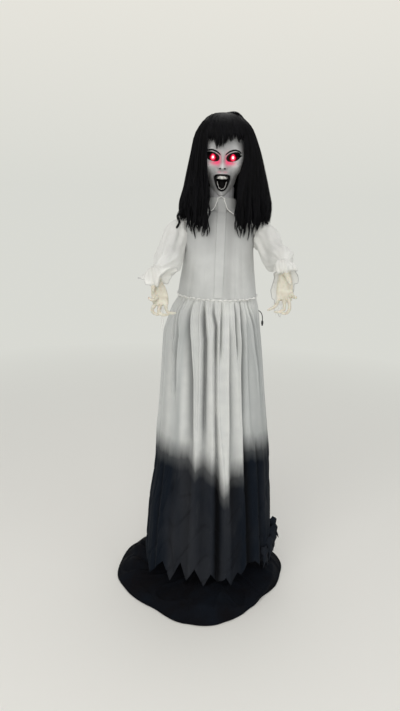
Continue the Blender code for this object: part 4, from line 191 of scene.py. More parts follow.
def waves(seed, along, across, count=6, low=1.0, high=4.0):
    """Smooth noise between about -1 and 1: a sum of sines in seeded directions."""
    pick = np.random.default_rng(seed)
    total = 0.0
    for _ in range(count):
        speed = pick.uniform(low, high)
        turn = pick.uniform(0, 2 * math.pi)
        total = total + np.sin(speed * (np.cos(turn) * along + np.sin(turn) * across)
                               + pick.uniform(0, 2 * math.pi))
    return total / math.sqrt(count * 2)


def smooth_line(points, count):
    """Evenly spaced points on a smooth line through the given ones."""
    points = np.array(points, float)
    padded = np.vstack([2 * points[0] - points[1], points, 2 * points[-1] - points[-2]])
    dense = []
    for index in range(1, len(padded) - 2):
        before, start, end, after = padded[index - 1:index + 3]
        for part in np.linspace(0, 1, 24, endpoint=False):
            dense.append(0.5 * (2 * start + (end - before) * part
                                + (2 * before - 5 * start + 4 * end - after) * part ** 2
                                + (3 * start - before - 3 * end + after) * part ** 3))
    dense.append(padded[-2])
    dense = np.array(dense)
    lengths = np.concatenate([[0], np.cumsum(np.linalg.norm(np.diff(dense, axis=0), axis=1))])
    wanted = np.linspace(0, lengths[-1], count)
    return np.column_stack([np.interp(wanted, lengths, dense[:, axis]) for axis in range(3)])


def smooth_loop(points, count):
    """Evenly spaced points on a closed line through the given ones."""
    points = np.vstack([points, points[:1]])
    lengths = np.concatenate([[0], np.cumsum(np.linalg.norm(np.diff(points, axis=0), axis=1))])
    wanted = np.linspace(0, lengths[-1], count, endpoint=False)
    return np.column_stack([np.interp(wanted, lengths, points[:, axis]) for axis in range(3)])


def frames(path):
    """Unit tangents and two directions square to them that turn as little as possible along a path."""
    tangents = np.gradient(path, axis=0)
    tangents /= np.linalg.norm(tangents, axis=1)[:, None]
    first = np.cross(tangents[0], (0.0, 0.0, 1.0))
    if np.linalg.norm(first) < 0.2:
        first = np.cross(tangents[0], (1.0, 0.0, 0.0))
    sides = [first / np.linalg.norm(first)]
    for tangent in tangents[1:]:
        side = sides[-1] - tangent * np.dot(sides[-1], tangent)
        sides.append(side / np.linalg.norm(side))
    sides = np.array(sides)
    return tangents, sides, np.cross(tangents, sides)


# Meshes

def piece(name, points, faces, material, uv=None, outward=None):
    """A new mesh object; faces is an array of vertex numbers, uv gives a place in metres for each vertex."""
    points = np.asarray(points, float).reshape(-1, 3)
    faces = [tuple(face) for face in faces]
    mesh = bpy.data.meshes.new(name)
    mesh.from_pydata([tuple(point) for point in points], [], faces)
    mesh.update()
    if outward is not None:
        normals = np.zeros(len(mesh.polygons) * 3)
        centres = np.zeros(len(mesh.polygons) * 3)
        mesh.polygons.foreach_get("normal", normals)
        mesh.polygons.foreach_get("center", centres)
        away = centres.reshape(-1, 3) - np.array(outward)
        away[:, 2] *= 0.2
        if (normals.reshape(-1, 3) * away).sum() < 0:
            mesh.flip_normals()
    if uv is not None:
        layer = mesh.uv_layers.new(name="UVMap")
        corners = np.zeros(len(mesh.loops), int)
        mesh.loops.foreach_get("vertex_index", corners)
        layer.data.foreach_set("uv", np.asarray(uv, float).reshape(-1, 2)[corners].ravel())
    mesh.shade_smooth()
    made = bpy.data.objects.new(name, mesh)
    bpy.context.scene.collection.objects.link(made)
    mesh.materials.append(material)
    return made


def grid_faces(rows, columns, around):
    """Four-sided faces of a grid of points, whose columns may close round."""
    last = columns if around else columns - 1
    row, column = np.meshgrid(np.arange(rows - 1), np.arange(last), indexing="ij")
    after = (column + 1) % columns
    return np.stack([row * columns + column, row * columns + after, (row + 1) * columns + after,
                     (row + 1) * columns + column], axis=-1).reshape(-1, 4)


def end_faces(rows, columns):
    """The two faces that close a grid of rings at its ends."""
    return [list(range(columns)), list(range((rows - 1) * columns, rows * columns))[::-1]]


def grid_uv(rows):
    """Distances along and down a grid, in metres, for the weave."""
    across = np.linalg.norm(np.diff(rows, axis=1), axis=2).mean(0)
    down = np.linalg.norm(np.diff(rows, axis=0), axis=2).mean(1)
    along = np.concatenate([[0], np.cumsum(across)])
    depth = np.concatenate([[0], np.cumsum(down)])
    return np.stack(np.meshgrid(along, depth), axis=-1)


def sheet_piece(name, rows, material, around=True, outward=(0, 0, 1), drop=None):
    """A sheet of cloth from rows of points; faces in drop, a mask on the points, are left out."""
    rows = np.asarray(rows, float)
    faces = grid_faces(rows.shape[0], rows.shape[1], around)
    if drop is not None:
        faces = faces[~np.asarray(drop).reshape(-1)[faces].all(axis=1)]
    made = piece(name, rows, faces, material, grid_uv(rows), outward)
    return tidy_mesh(made)


def tidy_mesh(made):
    """Removes loose points left by cut-outs."""
    form = bmesh.new()
    form.from_mesh(made.data)
    loose = [vert for vert in form.verts if not vert.link_faces]
    if loose:
        bmesh.ops.delete(form, geom=loose, context="VERTS")
        form.to_mesh(made.data)
    form.free()
    return made


def settle(made):
    """Applies an object's modifiers to its mesh."""
    bpy.context.view_layer.update()
    graph = bpy.context.evaluated_depsgraph_get()
    mesh = bpy.data.meshes.new_from_object(made.evaluated_get(graph))
    old = made.data
    made.modifiers.clear()
    made.data = mesh
    bpy.data.meshes.remove(old)
    mesh.shade_smooth()
    return made


def thicken(made, thickness):
    """Gives a sheet its thickness, inward from its outer side."""
    solid = made.modifiers.new("Thickness", "SOLIDIFY")
    solid.thickness = thickness
    solid.offset = -1.0
    return settle(made)


def tube_rows(path, radius, sides):
    """Rings of points round a path; radius is a number or one for each point."""
    path = np.asarray(path, float)
    _, side, up = frames(path)
    angle = round_angles(sides)
    radius = np.broadcast_to(radius, len(path))[:, None, None]
    ring = side[:, None] * np.cos(angle)[None, :, None] + up[:, None] * np.sin(angle)[None, :, None]
    return path[:, None] + ring * radius


def tube(name, path, radius, material, sides=10, closed=False):
    """A round tube along a path, with rounded ends where it isn't a ring."""
    path = np.asarray(path, float)
    if closed:
        radius = np.append(radius, radius[0]) if np.ndim(radius) else radius
        rows = tube_rows(np.vstack([path, path[:1]]), radius, sides)[:-1]
        last = (len(rows) - 1) * sides
        ends = [[last + column, last + (column + 1) % sides, (column + 1) % sides, column]
                for column in range(sides)]
    else:
        rows = capped_rows(path, radius, sides)
        ends = end_faces(len(rows), sides)
    made = piece(name, rows, grid_faces(len(rows), sides, True).tolist() + ends, material)
    form = bmesh.new()
    form.from_mesh(made.data)
    bmesh.ops.recalc_face_normals(form, faces=form.faces)
    form.to_mesh(made.data)
    form.free()
    return made


def capped_rows(path, radius, sides):
    """Rings along a path with small domes at both ends."""
    radius = np.broadcast_to(np.asarray(radius, float), len(path)).copy()
    tangents, _, _ = frames(path)
    turn = np.radians((80, 50, 25))
    head = [path[0] - tangents[0] * radius[0] * math.sin(t) for t in turn]
    tail = [path[-1] + tangents[-1] * radius[-1] * math.sin(t) for t in turn[::-1]]
    sizes = np.concatenate([radius[0] * np.cos(turn), radius, radius[-1] * np.cos(turn[::-1])])
    return tube_rows(np.vstack([head, path, tail]), sizes, sides)


def joined(name, parts):
    """One object from several; the first one's materials come first."""
    bpy.ops.object.select_all(action="DESELECT")
    for part in parts:
        part.select_set(True)
    bpy.context.view_layer.objects.active = parts[0]
    bpy.ops.object.join()
    parts[0].name = parts[0].data.name = name
    return parts[0]


def attribute(made, name, values):
    """Stores a value for each point, or one for all, for the material to read."""
    if np.ndim(values) == 0:
        values = np.full(len(made.data.vertices), values)
    layer = made.data.attributes.new(name, "FLOAT", "POINT")
    layer.data.foreach_set("value", np.asarray(values, np.float32).ravel())


# Materials

def add_node(tree, kind, sockets=None, **settings):
    """A new shader node: each of its sockets is set to a number or linked to another node's output."""
    node = tree.nodes.new("ShaderNode" + kind)
    for key, value in settings.items():
        setattr(node, key, value)
    for key, value in (sockets or {}).items():
        if isinstance(value, bpy.types.NodeSocket):
            tree.links.new(value, node.inputs[key])
        else:
            node.inputs[key].default_value = value
    return node


class Paint:
    """A node material with its shader, its place on the object and short ways to add nodes."""

    def __init__(self, name, colour=(0.8, 0.8, 0.8), roughness=0.5, **sockets):
        self.material = bpy.data.materials.new(name)
        self.material.use_nodes = True
        self.nodes = self.material.node_tree.nodes
        self.links = self.material.node_tree.links
        self.shader = self.nodes["Principled BSDF"]
        self.shader.inputs["Base Color"].default_value = (*colour, 1.0)
        self.shader.inputs["Roughness"].default_value = roughness
        self.material.diffuse_color = (*colour, 1.0)
        for socket, value in sockets.items():
            self.shader.inputs[socket.replace("_", " ")].default_value = value
        self.place = self.add("TexCoord").outputs["Object"]

    def add(self, kind, sockets=None, **settings):
        return add_node(self.material.node_tree, kind, sockets, **settings)

    def scaled(self, scale):
        return self.add("Mapping", {"Vector": self.place, "Scale": scale}).outputs["Vector"]

    def noise(self, scale, detail=3.0, vector=None):
        return self.add("TexNoise", {"Vector": vector or self.place, "Scale": scale, "Detail": detail,
                                     "Roughness": 0.55}).outputs["Fac"]

    def stops(self, factor, stops):
        """Colours or grey values along a factor."""
        node = self.add("ValToRGB", {"Fac": factor})
        band = node.color_ramp
        while len(band.elements) < len(stops):
            band.elements.new(0.5)
        for element, (place, colour) in zip(band.elements, stops):
            element.position = place
            element.color = (*colour, 1.0) if isinstance(colour, tuple) else (colour, colour, colour, 1.0)
        return node.outputs["Color"]

    def mix(self, factor, first, second):
        first = (*first, 1.0) if isinstance(first, tuple) else first
        second = (*second, 1.0) if isinstance(second, tuple) else second
        return self.add("MixRGB", {"Fac": factor, "Color1": first, "Color2": second}).outputs["Color"]

    def math(self, operation, first, second=0.0, clamp=False):
        return self.add("Math", {0: first, 1: second}, operation=operation, use_clamp=clamp).outputs["Value"]

    def times(self, first, second):
        return self.math("MULTIPLY", first, second)

    def plus(self, first, second, clamp=False):
        return self.math("ADD", first, second, clamp)

    def minus(self, first, second):
        return self.math("SUBTRACT", first, second)

    def patches(self, factor, low, high, shade, light):
        """Two close tones in soft patches."""
        return self.mix(self.stops(factor, ((low, 0.0), (high, 1.0))), shade, light)

    def read(self, name):
        return self.add("Attribute", attribute_name=name).outputs["Fac"]

    def colour(self, socket):
        self.links.new(socket, self.shader.inputs["Base Color"])

    def rough(self, factor, low, high):
        span = self.add("MapRange", {"Value": factor, "To Min": low, "To Max": high})
        self.links.new(span.outputs["Result"], self.shader.inputs["Roughness"])

    def bump(self, height, distance, strength):
        node = self.add("Bump", {"Height": height, "Distance": distance, "Strength": strength})
        self.links.new(node.outputs["Normal"], self.shader.inputs["Normal"])


def weave(paint, thread=0.0009):
    """Over and under threads on the cloth's own metres."""
    place = paint.add("TexCoord").outputs["UV"]
    sets = []
    for axis in ("X", "Y"):
        wave = paint.add("TexWave", {"Vector": place, "Scale": 0.314 / thread, "Distortion": 0.6,
                                     "Detail": 1.0}, bands_direction=axis)
        sets.append(wave.outputs["Fac"])
    return paint.plus(sets[0], sets[1])


def cloth(name, light, shade, roughness=0.9, thread=0.0009, **sockets):
    """Woven cloth: two close tones in soft patches, threads and faint creases in relief."""
    paint = Paint(name, light, roughness, **sockets)
    patches = paint.noise(26.0, 4.0)
    paint.colour(paint.patches(patches, 0.35, 0.68, shade, light))
    relief = paint.plus(paint.times(weave(paint, thread), 0.25), paint.noise(150.0, 2.0))
    paint.bump(relief, 0.0005, 0.45)
    paint.rough(patches, roughness - 0.08, min(1.0, roughness + 0.05))
    return paint


def moulded(name, light, shade, low, high, grain, depth, **sockets):
    """A moulded, painted or drawn surface with fine grain and faint unevenness of tone and gloss."""
    paint = Paint(name, light, high, **sockets)
    broad = paint.noise(34.0, 4.0)
    paint.colour(paint.patches(broad, 0.3, 0.7, shade, light))
    paint.rough(paint.noise(60.0, 5.0), low, high)
    paint.bump(paint.noise(grain, 4.0), depth, 0.5)
    return paint.material


def skirt_material():
    """White cloth dip-dyed through grey to a blue black, with the dye running lower in some folds, and painted
    shade mixed in by angle round the skirt and in the fold valleys.
    """
    paint = cloth("skirt_dyed_cloth", (0.66, 0.67, 0.65), (0.6, 0.61, 0.6), 0.88, thread=0.001,
                  Specular_IOR_Level=0.1)
    white = paint.shader.inputs["Base Color"].links[0].from_socket
    # Painted shade: greyer by angle round the skirt, darker in the fold valleys
    white = paint.mix(paint.times(paint.read("painted_shade"), 0.75), white, (0.385, 0.405, 0.405))
    white = paint.mix(paint.times(paint.read("valley_shade"), 0.6), white, (0.2, 0.208, 0.21))
    level = paint.read("dye")
    wisps = paint.noise(1.0, 5.0, paint.scaled((46.0, 46.0, 9.0)))
    level = paint.plus(level, paint.times(paint.minus(wisps, 0.5), 0.24))
    dye = paint.stops(level, ((0.0, 0.0), (0.3, 0.1), (0.52, 0.5), (0.74, 0.9), (0.98, 1.0)))
    patches = paint.noise(1.0, 4.0, paint.scaled((17.0, 17.0, 6.0)))
    uneven = paint.times(paint.minus(patches, 0.5), 1.5)
    tone = paint.plus(paint.read("charcoal"), uneven, clamp=True)
    dark = paint.mix(tone, (0.004, 0.0068, 0.012), (0.0215, 0.0235, 0.0285))
    # Painted shade in the fold valleys of the dyed part too
    dark = paint.mix(paint.times(paint.read("valley_shade"), 0.8), dark, (0.003, 0.003, 0.0036))
    paint.colour(paint.mix(dye, white, dark))
    return paint.material


def dress_material():
    """Off-white woven cloth that is greyer where painted shade is marked on it."""
    paint = cloth("dress_cloth", (0.615, 0.625, 0.615), (0.555, 0.565, 0.558), 0.88, Sheen_Weight=0.15)
    base = paint.shader.inputs["Base Color"].links[0].from_socket
    paint.colour(paint.mix(paint.read("painted_shade"), base, (0.27, 0.272, 0.268)))
    return paint.material


def cover_material():
    """Black cloth with a faint blue in soft patches: painted sheen."""
    paint = Paint("base_cover_cloth", (0.008, 0.009, 0.012), 0.86, Specular_IOR_Level=0.06)
    patches = paint.noise(14.0, 5.0)
    # The faint blue patches are painted sheen
    paint.colour(paint.patches(patches, 0.38, 0.7, (0.0036, 0.0034, 0.0046), (0.005, 0.0068, 0.0105)))
    relief = paint.plus(paint.times(weave(paint, 0.0011), 0.22), paint.noise(90.0, 4.0))
    paint.bump(relief, 0.0008, 0.5)
    paint.rough(patches, 0.78, 0.92)
    return paint.material


def sheer_material():
    """Thin white voile: threads with gaps between them, so that what is under it shows a little."""
    paint = Paint("sheer_voile", (0.8, 0.8, 0.775), 0.85, Sheen_Weight=0.15, Specular_IOR_Level=0.2)
    threads = weave(paint, 0.0008)
    folds = paint.noise(1.0, 3.0, paint.scaled((40.0, 22.0, 16.0)))
    paint.colour(paint.patches(folds, 0.3, 0.7, (0.78, 0.78, 0.75), (0.85, 0.85, 0.825)))
    thread_part = paint.add("MapRange", {"Value": threads, "From Min": 0.0, "From Max": 2.0, "To Min": 0.64,
                                         "To Max": 0.84}).outputs["Result"]
    solid = paint.minus(thread_part, paint.times(paint.read("thin"), 0.36))
    paint.links.new(solid, paint.shader.inputs["Alpha"])
    paint.bump(paint.plus(paint.times(threads, 0.2), folds), 0.0004, 0.3)
    return paint.material


def skin_material():
    """Painted mask skin in greys, with black round eyes, brows and lips, a painted red glow from the eyes, and
    painted light on cheeks, nose and chin.
    """
    paint = Paint("mask_skin_paint", (0.27, 0.27, 0.28), 0.52, Specular_IOR_Level=0.16)
    patches = paint.noise(38.0, 5.0)
    skin = paint.patches(patches, 0.32, 0.7, (0.36, 0.36, 0.365), (0.46, 0.46, 0.465))
    # Painted light on the cheeks, nose and chin, then the eyes' red glow painted on the skin
    skin = paint.mix(paint.read("painted_light"), skin, (0.8, 0.8, 0.8))
    skin = paint.mix(paint.read("glow"), skin, (0.92, 0.1, 0.22))
    edge = paint.plus(paint.read("dark"), paint.times(paint.minus(paint.noise(420.0, 3.0), 0.5), 0.16))
    black = paint.stops(edge, ((0.34, 0.0), (0.6, 1.0)))
    paint.colour(paint.mix(black, skin, (0.004, 0.0036, 0.0042)))
    paint.rough(black, 0.55, 0.45)
    paint.bump(paint.plus(paint.noise(320.0, 4.0), paint.times(paint.noise(90.0, 3.0), 0.8)), 0.00035, 0.6)
    return paint.material


def hand_material():
    """Cream vinyl with soft patches and fine skin grain."""
    paint = Paint("hand_vinyl", (0.74, 0.7, 0.58), 0.48, Specular_IOR_Level=0.4,
                  Subsurface_Weight=0.08, Subsurface_Scale=0.01)
    patches = paint.noise(70.0, 5.0)
    paint.colour(paint.patches(patches, 0.3, 0.7, (0.53, 0.495, 0.4), (0.71, 0.685, 0.59)))
    paint.rough(patches, 0.42, 0.6)
    paint.bump(paint.noise(1.0, 4.0, paint.scaled((520.0, 520.0, 210.0))), 0.0004, 0.5)
    return paint.material


def hair_material():
    """Black fibre with a narrow grey shine and a little difference from lock to lock."""
    paint = Paint("hair_fibre", (0.006, 0.006, 0.008), 0.36, Specular_IOR_Level=0.085)
    locks = paint.noise(1.0, 3.0, paint.scaled((120.0, 120.0, 7.0)))
    paint.colour(paint.patches(locks, 0.35, 0.7, (0.0028, 0.0028, 0.0032), (0.0072, 0.007, 0.0092)))
    paint.rough(locks, 0.34, 0.54)
    return paint.material


# The bright core sits this far above the lens's middle
CORE_RISE = 0.003


def lens_material(name, centre):
    """A red lens that is lit from behind: a white-hot core, red round it and nearly black at its rim."""
    paint = Paint(name, (0.3, 0.004, 0.02), 0.12, Coat_Weight=0.5)
    offset = paint.add("VectorMath", {0: paint.place, 1: centre}, operation="SUBTRACT").outputs["Vector"]
    axes = paint.add("SeparateXYZ", {0: offset})
    above_core = paint.minus(axes.outputs["Z"], CORE_RISE)
    narrow = paint.times(paint.math("MAXIMUM", above_core, 0.0), 75.0)
    across = paint.times(axes.outputs["X"], paint.plus(narrow, 1.4))
    down = paint.times(above_core, 0.9)
    reach = paint.math("SQRT", paint.plus(paint.times(across, across), paint.times(down, down)))
    facets = paint.times(paint.minus(paint.noise(260.0, 1.0), 0.5), 0.0022)
    near = paint.times(paint.plus(reach, facets), 66.0)
    colour = paint.stops(near, ((0.0, (1.0, 0.86, 0.62)), (0.15, (1.0, 0.6, 0.45)), (0.28, (1.0, 0.03, 0.1)),
                                (0.66, (0.6, 0.002, 0.025)), (0.98, (0.02, 0.0, 0.001))))
    # The base colour follows the glow as well: painted light at the core, painted shade towards the rim
    paint.colour(paint.stops(near, ((0.0, (0.8, 0.3, 0.3)), (0.5, (0.45, 0.01, 0.03)),
                                    (0.95, (0.03, 0.0, 0.003)))))
    paint.links.new(colour, paint.shader.inputs["Emission Color"])
    glow = paint.add("MapRange", {"Value": near, "From Min": 0.0, "From Max": 0.7, "To Min": 3.2,
                                  "To Max": 0.5})
    paint.links.new(glow.outputs["Result"], paint.shader.inputs["Emission Strength"])
    return paint.material


def board_material():
    """Green circuit board lacquer with tracks."""
    paint = Paint("circuit_lacquer", (0.02, 0.11, 0.045), 0.35, Coat_Weight=0.3)
    tracks = paint.add("TexBrick", {"Vector": paint.scaled((420.0, 420.0, 420.0)), "Mortar Size": 0.03,
                                    "Color1": (0.015, 0.1, 0.04, 1), "Color2": (0.02, 0.13, 0.05, 1),
                                    "Mortar": (0.05, 0.2, 0.09, 1)})
    paint.colour(tracks.outputs["Color"])
    paint.rough(paint.noise(90.0), 0.28, 0.45)
    return paint.material


def brushed(name, light, shade):
    """Metal with fine brush strokes."""
    paint = Paint(name, light, 0.32, Metallic=1.0)
    strokes = paint.noise(1.0, 4.0, paint.scaled((900.0, 900.0, 40.0)))
    paint.colour(paint.mix(strokes, shade, light))
    paint.rough(strokes, 0.24, 0.42)
    paint.bump(strokes, 0.0001, 0.4)
    return paint.material


SKIRT_CLOTH = skirt_material()
COVER_CLOTH = cover_material()
DRESS_CLOTH = dress_material()
TRIM_CLOTH = cloth("trim_cloth", (0.8, 0.8, 0.78), (0.7, 0.7, 0.68), 0.8, thread=0.0006,
                   Sheen_Weight=0.15).material
PIPING = cloth("piping_cloth", (0.86, 0.86, 0.84), (0.78, 0.78, 0.76), 0.7, thread=0.0005).material
SHEER = sheer_material()
SKIN = skin_material()
NECK = moulded("neck_skin_paint", (0.5, 0.5, 0.51), (0.38, 0.38, 0.39), 0.48, 0.6, 320.0, 0.0003,
               Specular_IOR_Level=0.16)
HAND_SKIN = hand_material()
HAIR = hair_material()
BLACK = moulded("black_plastic_grain", (0.022, 0.022, 0.024), (0.014, 0.014, 0.016), 0.38, 0.55, 900.0, 0.00025)
MOUTH_BLACK = moulded("mouth_gloss", (0.0026, 0.0022, 0.0024), (0.0014, 0.0012, 0.0014), 0.35, 0.5, 300.0,
                      0.0004, Specular_IOR_Level=0.05)
GREY = moulded("grey_plastic_grain", (0.33, 0.33, 0.34), (0.27, 0.27, 0.28), 0.42, 0.58, 800.0, 0.0002)
WHITE = moulded("white_plastic_shell", (0.79, 0.78, 0.75), (0.72, 0.71, 0.67), 0.35, 0.5, 700.0, 0.0002)
NYLON = moulded("nylon_gear", (0.82, 0.8, 0.74), (0.74, 0.72, 0.65), 0.34, 0.48, 500.0, 0.0002,
                Subsurface_Weight=0.05)
RUBBER = moulded("foot_rubber", (0.022, 0.022, 0.022), (0.013, 0.013, 0.013), 0.72, 0.88, 700.0, 0.0003)
JACKET = moulded("lead_jacket", (0.02, 0.02, 0.021), (0.012, 0.012, 0.013), 0.38, 0.55, 600.0, 0.0002)
POWDER = moulded("powder_coat", (0.03, 0.03, 0.032), (0.02, 0.02, 0.022), 0.45, 0.62, 1300.0, 0.0003,
                 Metallic=0.2)
TOOTH = moulded("tooth_enamel", (0.92, 0.91, 0.88), (0.78, 0.76, 0.71), 0.22, 0.36, 240.0, 0.0003)
STEEL = brushed("brushed_steel", (0.6, 0.61, 0.62), (0.47, 0.48, 0.49))
BOARD = board_material()

NODE_FINISH = {
    "base_hub": BLACK, "foot_cap": RUBBER, "leg_": POWDER, "pole_": POWDER, "waist_gear": NYLON,
    "neck_gear": NYLON, "waist_pinion": NYLON, "neck_pinion": NYLON, "waist_case": GREY, "neck_case": GREY,
    "waist_motor": STEEL, "neck_motor": STEEL, "spine_tube": STEEL, "shoulder_bar": STEEL, "arm_rod": STEEL,
    "chest_": WHITE, "control_": BLACK, "battery_door": BLACK, "battery_": WHITE, "circuit_board": BOARD,
    "eye_light_board": BOARD, "speaker": BLACK, "power_switch": GREY, "lead_eyelet": STEEL,
    "lead_cord": JACKET, "lead_connector": BLACK, "head_mount": GREY, "skull_shell": SKIN,
    "face_shell": SKIN, "neck_skin": NECK, "mouth_liner": MOUTH_BLACK, "upper_teeth": TOOTH,
    "lower_teeth": TOOTH, "wig_cap": HAIR, "hair_": HAIR, "bodice": DRESS_CLOTH, "collar": DRESS_CLOTH,
    "skirt": SKIRT_CLOTH, "base_cover": COVER_CLOTH, "sleeve_": SHEER, "hand_": HAND_SKIN}


def finish_nodes():
    """Gives every carried CAD node its own node material."""
    for name, node in NODES.items():
        if name.startswith("eye_lens"):
            side = 1.0 if name.endswith("left") else -1.0
            finish = lens_material(name + "_glow", (side * 0.0285, 0.0, 1.389))
        else:
            finish = next(material for start, material in NODE_FINISH.items() if name.startswith(start))
        node.data.materials.clear()
        node.data.materials.append(finish)


# Studio

def build_studio():
    """The camera, three lamps, the world behind and a floor that fades into it."""
    camera = bpy.data.cameras.new("camera")
    camera.sensor_fit = "VERTICAL"
    camera.sensor_height = SENSOR
    camera.lens = FOCAL_PIXELS / IMAGE_HEIGHT * SENSOR
    camera.clip_start = 0.05
    eye = bpy.data.objects.new("camera", camera)
    eye.matrix_world = (Matrix.Translation(CAMERA_PLACE) @ Matrix.Rotation(math.radians(CAMERA_YAW), 4, "Z")
                        @ Matrix.Rotation(math.radians(90 - CAMERA_PITCH), 4, "X")
                        @ Matrix.Rotation(math.radians(CAMERA_ROLL), 4, "Z"))
    bpy.context.scene.collection.objects.link(eye)
    bpy.context.scene.camera = eye
    bpy.context.scene.view_settings.view_transform = "Standard"

    for name, place, size, power, tint in (
            ("key", (-0.7, -2.9, 2.5), 3.2, 66.0, (1.0, 0.985, 0.96)),
            ("fill", (2.4, -2.1, 1.7), 2.4, 12.0, (0.96, 0.98, 1.0)),
            ("top", (0.2, 0.9, 3.2), 2.0, 16.0, (1.0, 1.0, 1.0))):
        lamp = bpy.data.lights.new(name, "AREA")
        lamp.size, lamp.energy, lamp.color = size, power, tint
        holder = bpy.data.objects.new(name, lamp)
        aim = Vector((0.0, 0.0, 0.85)) - Vector(place)
        holder.matrix_world = Matrix.Translation(place) @ aim.to_track_quat("-Z", "Y").to_matrix().to_4x4()
        bpy.context.scene.collection.objects.link(holder)

    world = bpy.data.worlds.new("studio")
    world.use_nodes = True
    bpy.context.scene.world = world
    tree = world.node_tree
    lit = tree.nodes["Background"]
    lit.inputs["Color"].default_value = (1.0, 0.995, 0.98, 1.0)
    lit.inputs["Strength"].default_value = AMBIENT_STRENGTH
    place = add_node(tree, "TexCoord").outputs["Generated"]
    height = add_node(tree, "SeparateXYZ", {0: place}).outputs["Z"]
    band = add_node(tree, "ValToRGB", {0: height})
    band.color_ramp.elements[0].color = (*HORIZON_COLOUR, 1.0)
    band.color_ramp.elements[1].color = (*SKY_COLOUR, 1.0)
    band.color_ramp.elements[1].position = 0.26
    seen = add_node(tree, "Background", {"Color": band.outputs["Color"]})
    rays = add_node(tree, "LightPath").outputs
    direct = rays["Is Camera Ray"]
    for kind in ("Is Transmission Ray", "Is Glossy Ray"):
        direct = add_node(tree, "Math", {0: direct, 1: rays[kind]}, operation="MAXIMUM").outputs[0]
    either = add_node(tree, "MixShader", {0: direct, 1: lit.outputs[0], 2: seen.outputs[0]})
    tree.links.new(either.outputs[0], tree.nodes["World Output"].inputs[0])

    floor_paint = Paint("studio_floor", FLOOR_COLOUR, 0.9)
    away = floor_paint.add("VectorMath", {0: floor_paint.place}, operation="LENGTH").outputs["Value"]
    far = floor_paint.stops(floor_paint.math("DIVIDE", away, 6.0), ((0.12, 0.0), (0.55, 1.0)))
    glow = floor_paint.add("Emission", {"Color": (*HORIZON_COLOUR, 1.0), "Strength": 1.0})
    blend = floor_paint.add("MixShader", {0: far, 1: floor_paint.shader.outputs[0], 2: glow.outputs[0]})
    output = floor_paint.nodes["Material Output"]
    floor_paint.links.new(blend.outputs[0], output.inputs["Surface"])
    corners = [(-FLOOR_HALF, -FLOOR_HALF, 0), (FLOOR_HALF, -FLOOR_HALF, 0), (FLOOR_HALF, FLOOR_HALF, 0),
               (-FLOOR_HALF, FLOOR_HALF, 0)]
    piece("studio_floor", corners, [(0, 1, 2, 3)], floor_paint.material)


# The lead at the skirt's side

# From the eyelet, over the skirt's side, down to the connector
LEAD_ROUTE = ((0.043, 0.0343, 0.895), (0.043, 0.0415, 0.895), (0.0455, 0.048, 0.9),
              (0.056, 0.052, 0.911), (0.076, 0.05, 0.924), (0.098, 0.043, 0.934),
              (0.12, 0.036, 0.939), (0.131, 0.033, 0.9385), (0.14, 0.031, 0.934),
              (0.1458, 0.0305, 0.924), (0.1476, 0.031, 0.912), (0.1478, 0.0312, 0.906))
LEAD_DIAMETER = 0.0028


def build_lead():
    """The thin black lead from the control box through its eyelet, down to the connector that hangs on it."""
    path = smooth_line(LEAD_ROUTE, 40)
    lead = tube("lead", path, LEAD_DIAMETER / 2, JACKET, 12)
    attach(lead, "torso")
    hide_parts("lead_cord")


# Dress

def torso(share, angle, outset=0.0):
    """A point on the dress body by its share of the way up, moved outward by outset."""
    squareness = 2.7 - 0.7 * ramp(share, 0.88, 1.0)
    x, y = oval(angle, curve(TORSO, share, 1) + outset, curve(TORSO, share, 2) + outset, squareness)
    z = WAIST + (NECK_OPENING - WAIST) * share + outset * ramp(share, 0.8, 0.95)
    return np.stack(np.broadcast_arrays(x, y, z), axis=-1)


def build_placket():
    """The narrow panel down the front, from the throat to the waist."""
    rows = []
    for height in np.linspace(0.992, 1.279, 90):
        places = np.linspace(-0.0105, 0.0175, 9)
        share = min(1.0, (height - WAIST) / (NECK_OPENING - WAIST))
        half, deep = float(curve(TORSO, share, 1)), float(curve(TORSO, share, 2))
        body = -deep * (1 - np.abs(places / half) ** 2.4) ** (1 / 2.4) - 0.0012
        neck = -np.sqrt(NECK_RADIUS ** 2 - places ** 2)
        lift = float(ramp(height, 1.236, 1.252))
        rows.append(np.stack([places, body * (1 - lift) + neck * lift, np.full(9, height)], axis=-1))
    placket = sheet_piece("dress_placket", np.array(rows), DRESS_CLOTH, around=False, outward=(0, 0, 1.1))
    level = np.array([vert.co.z for vert in placket.data.vertices])
    # Painted shade, growing towards the throat under the chin
    attribute(placket, "painted_shade", 0.12 + 0.44 * ramp(level, 1.08, 1.23))
    thicken(placket, 0.0006)
    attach(placket, "torso")
    return placket


# Folds of the dress body: angle, half width in degrees, depth
BODICE_FOLDS = ((13, 4.5, 0.0042), (22, 2.6, 0.003), (34, 3.5, 0.0016), (-14, 6.0, 0.0026), (-38, 4.0, 0.0018),
                (150, 5.0, 0.002), (-150, 5.0, 0.002), (180, 3.0, 0.0015))


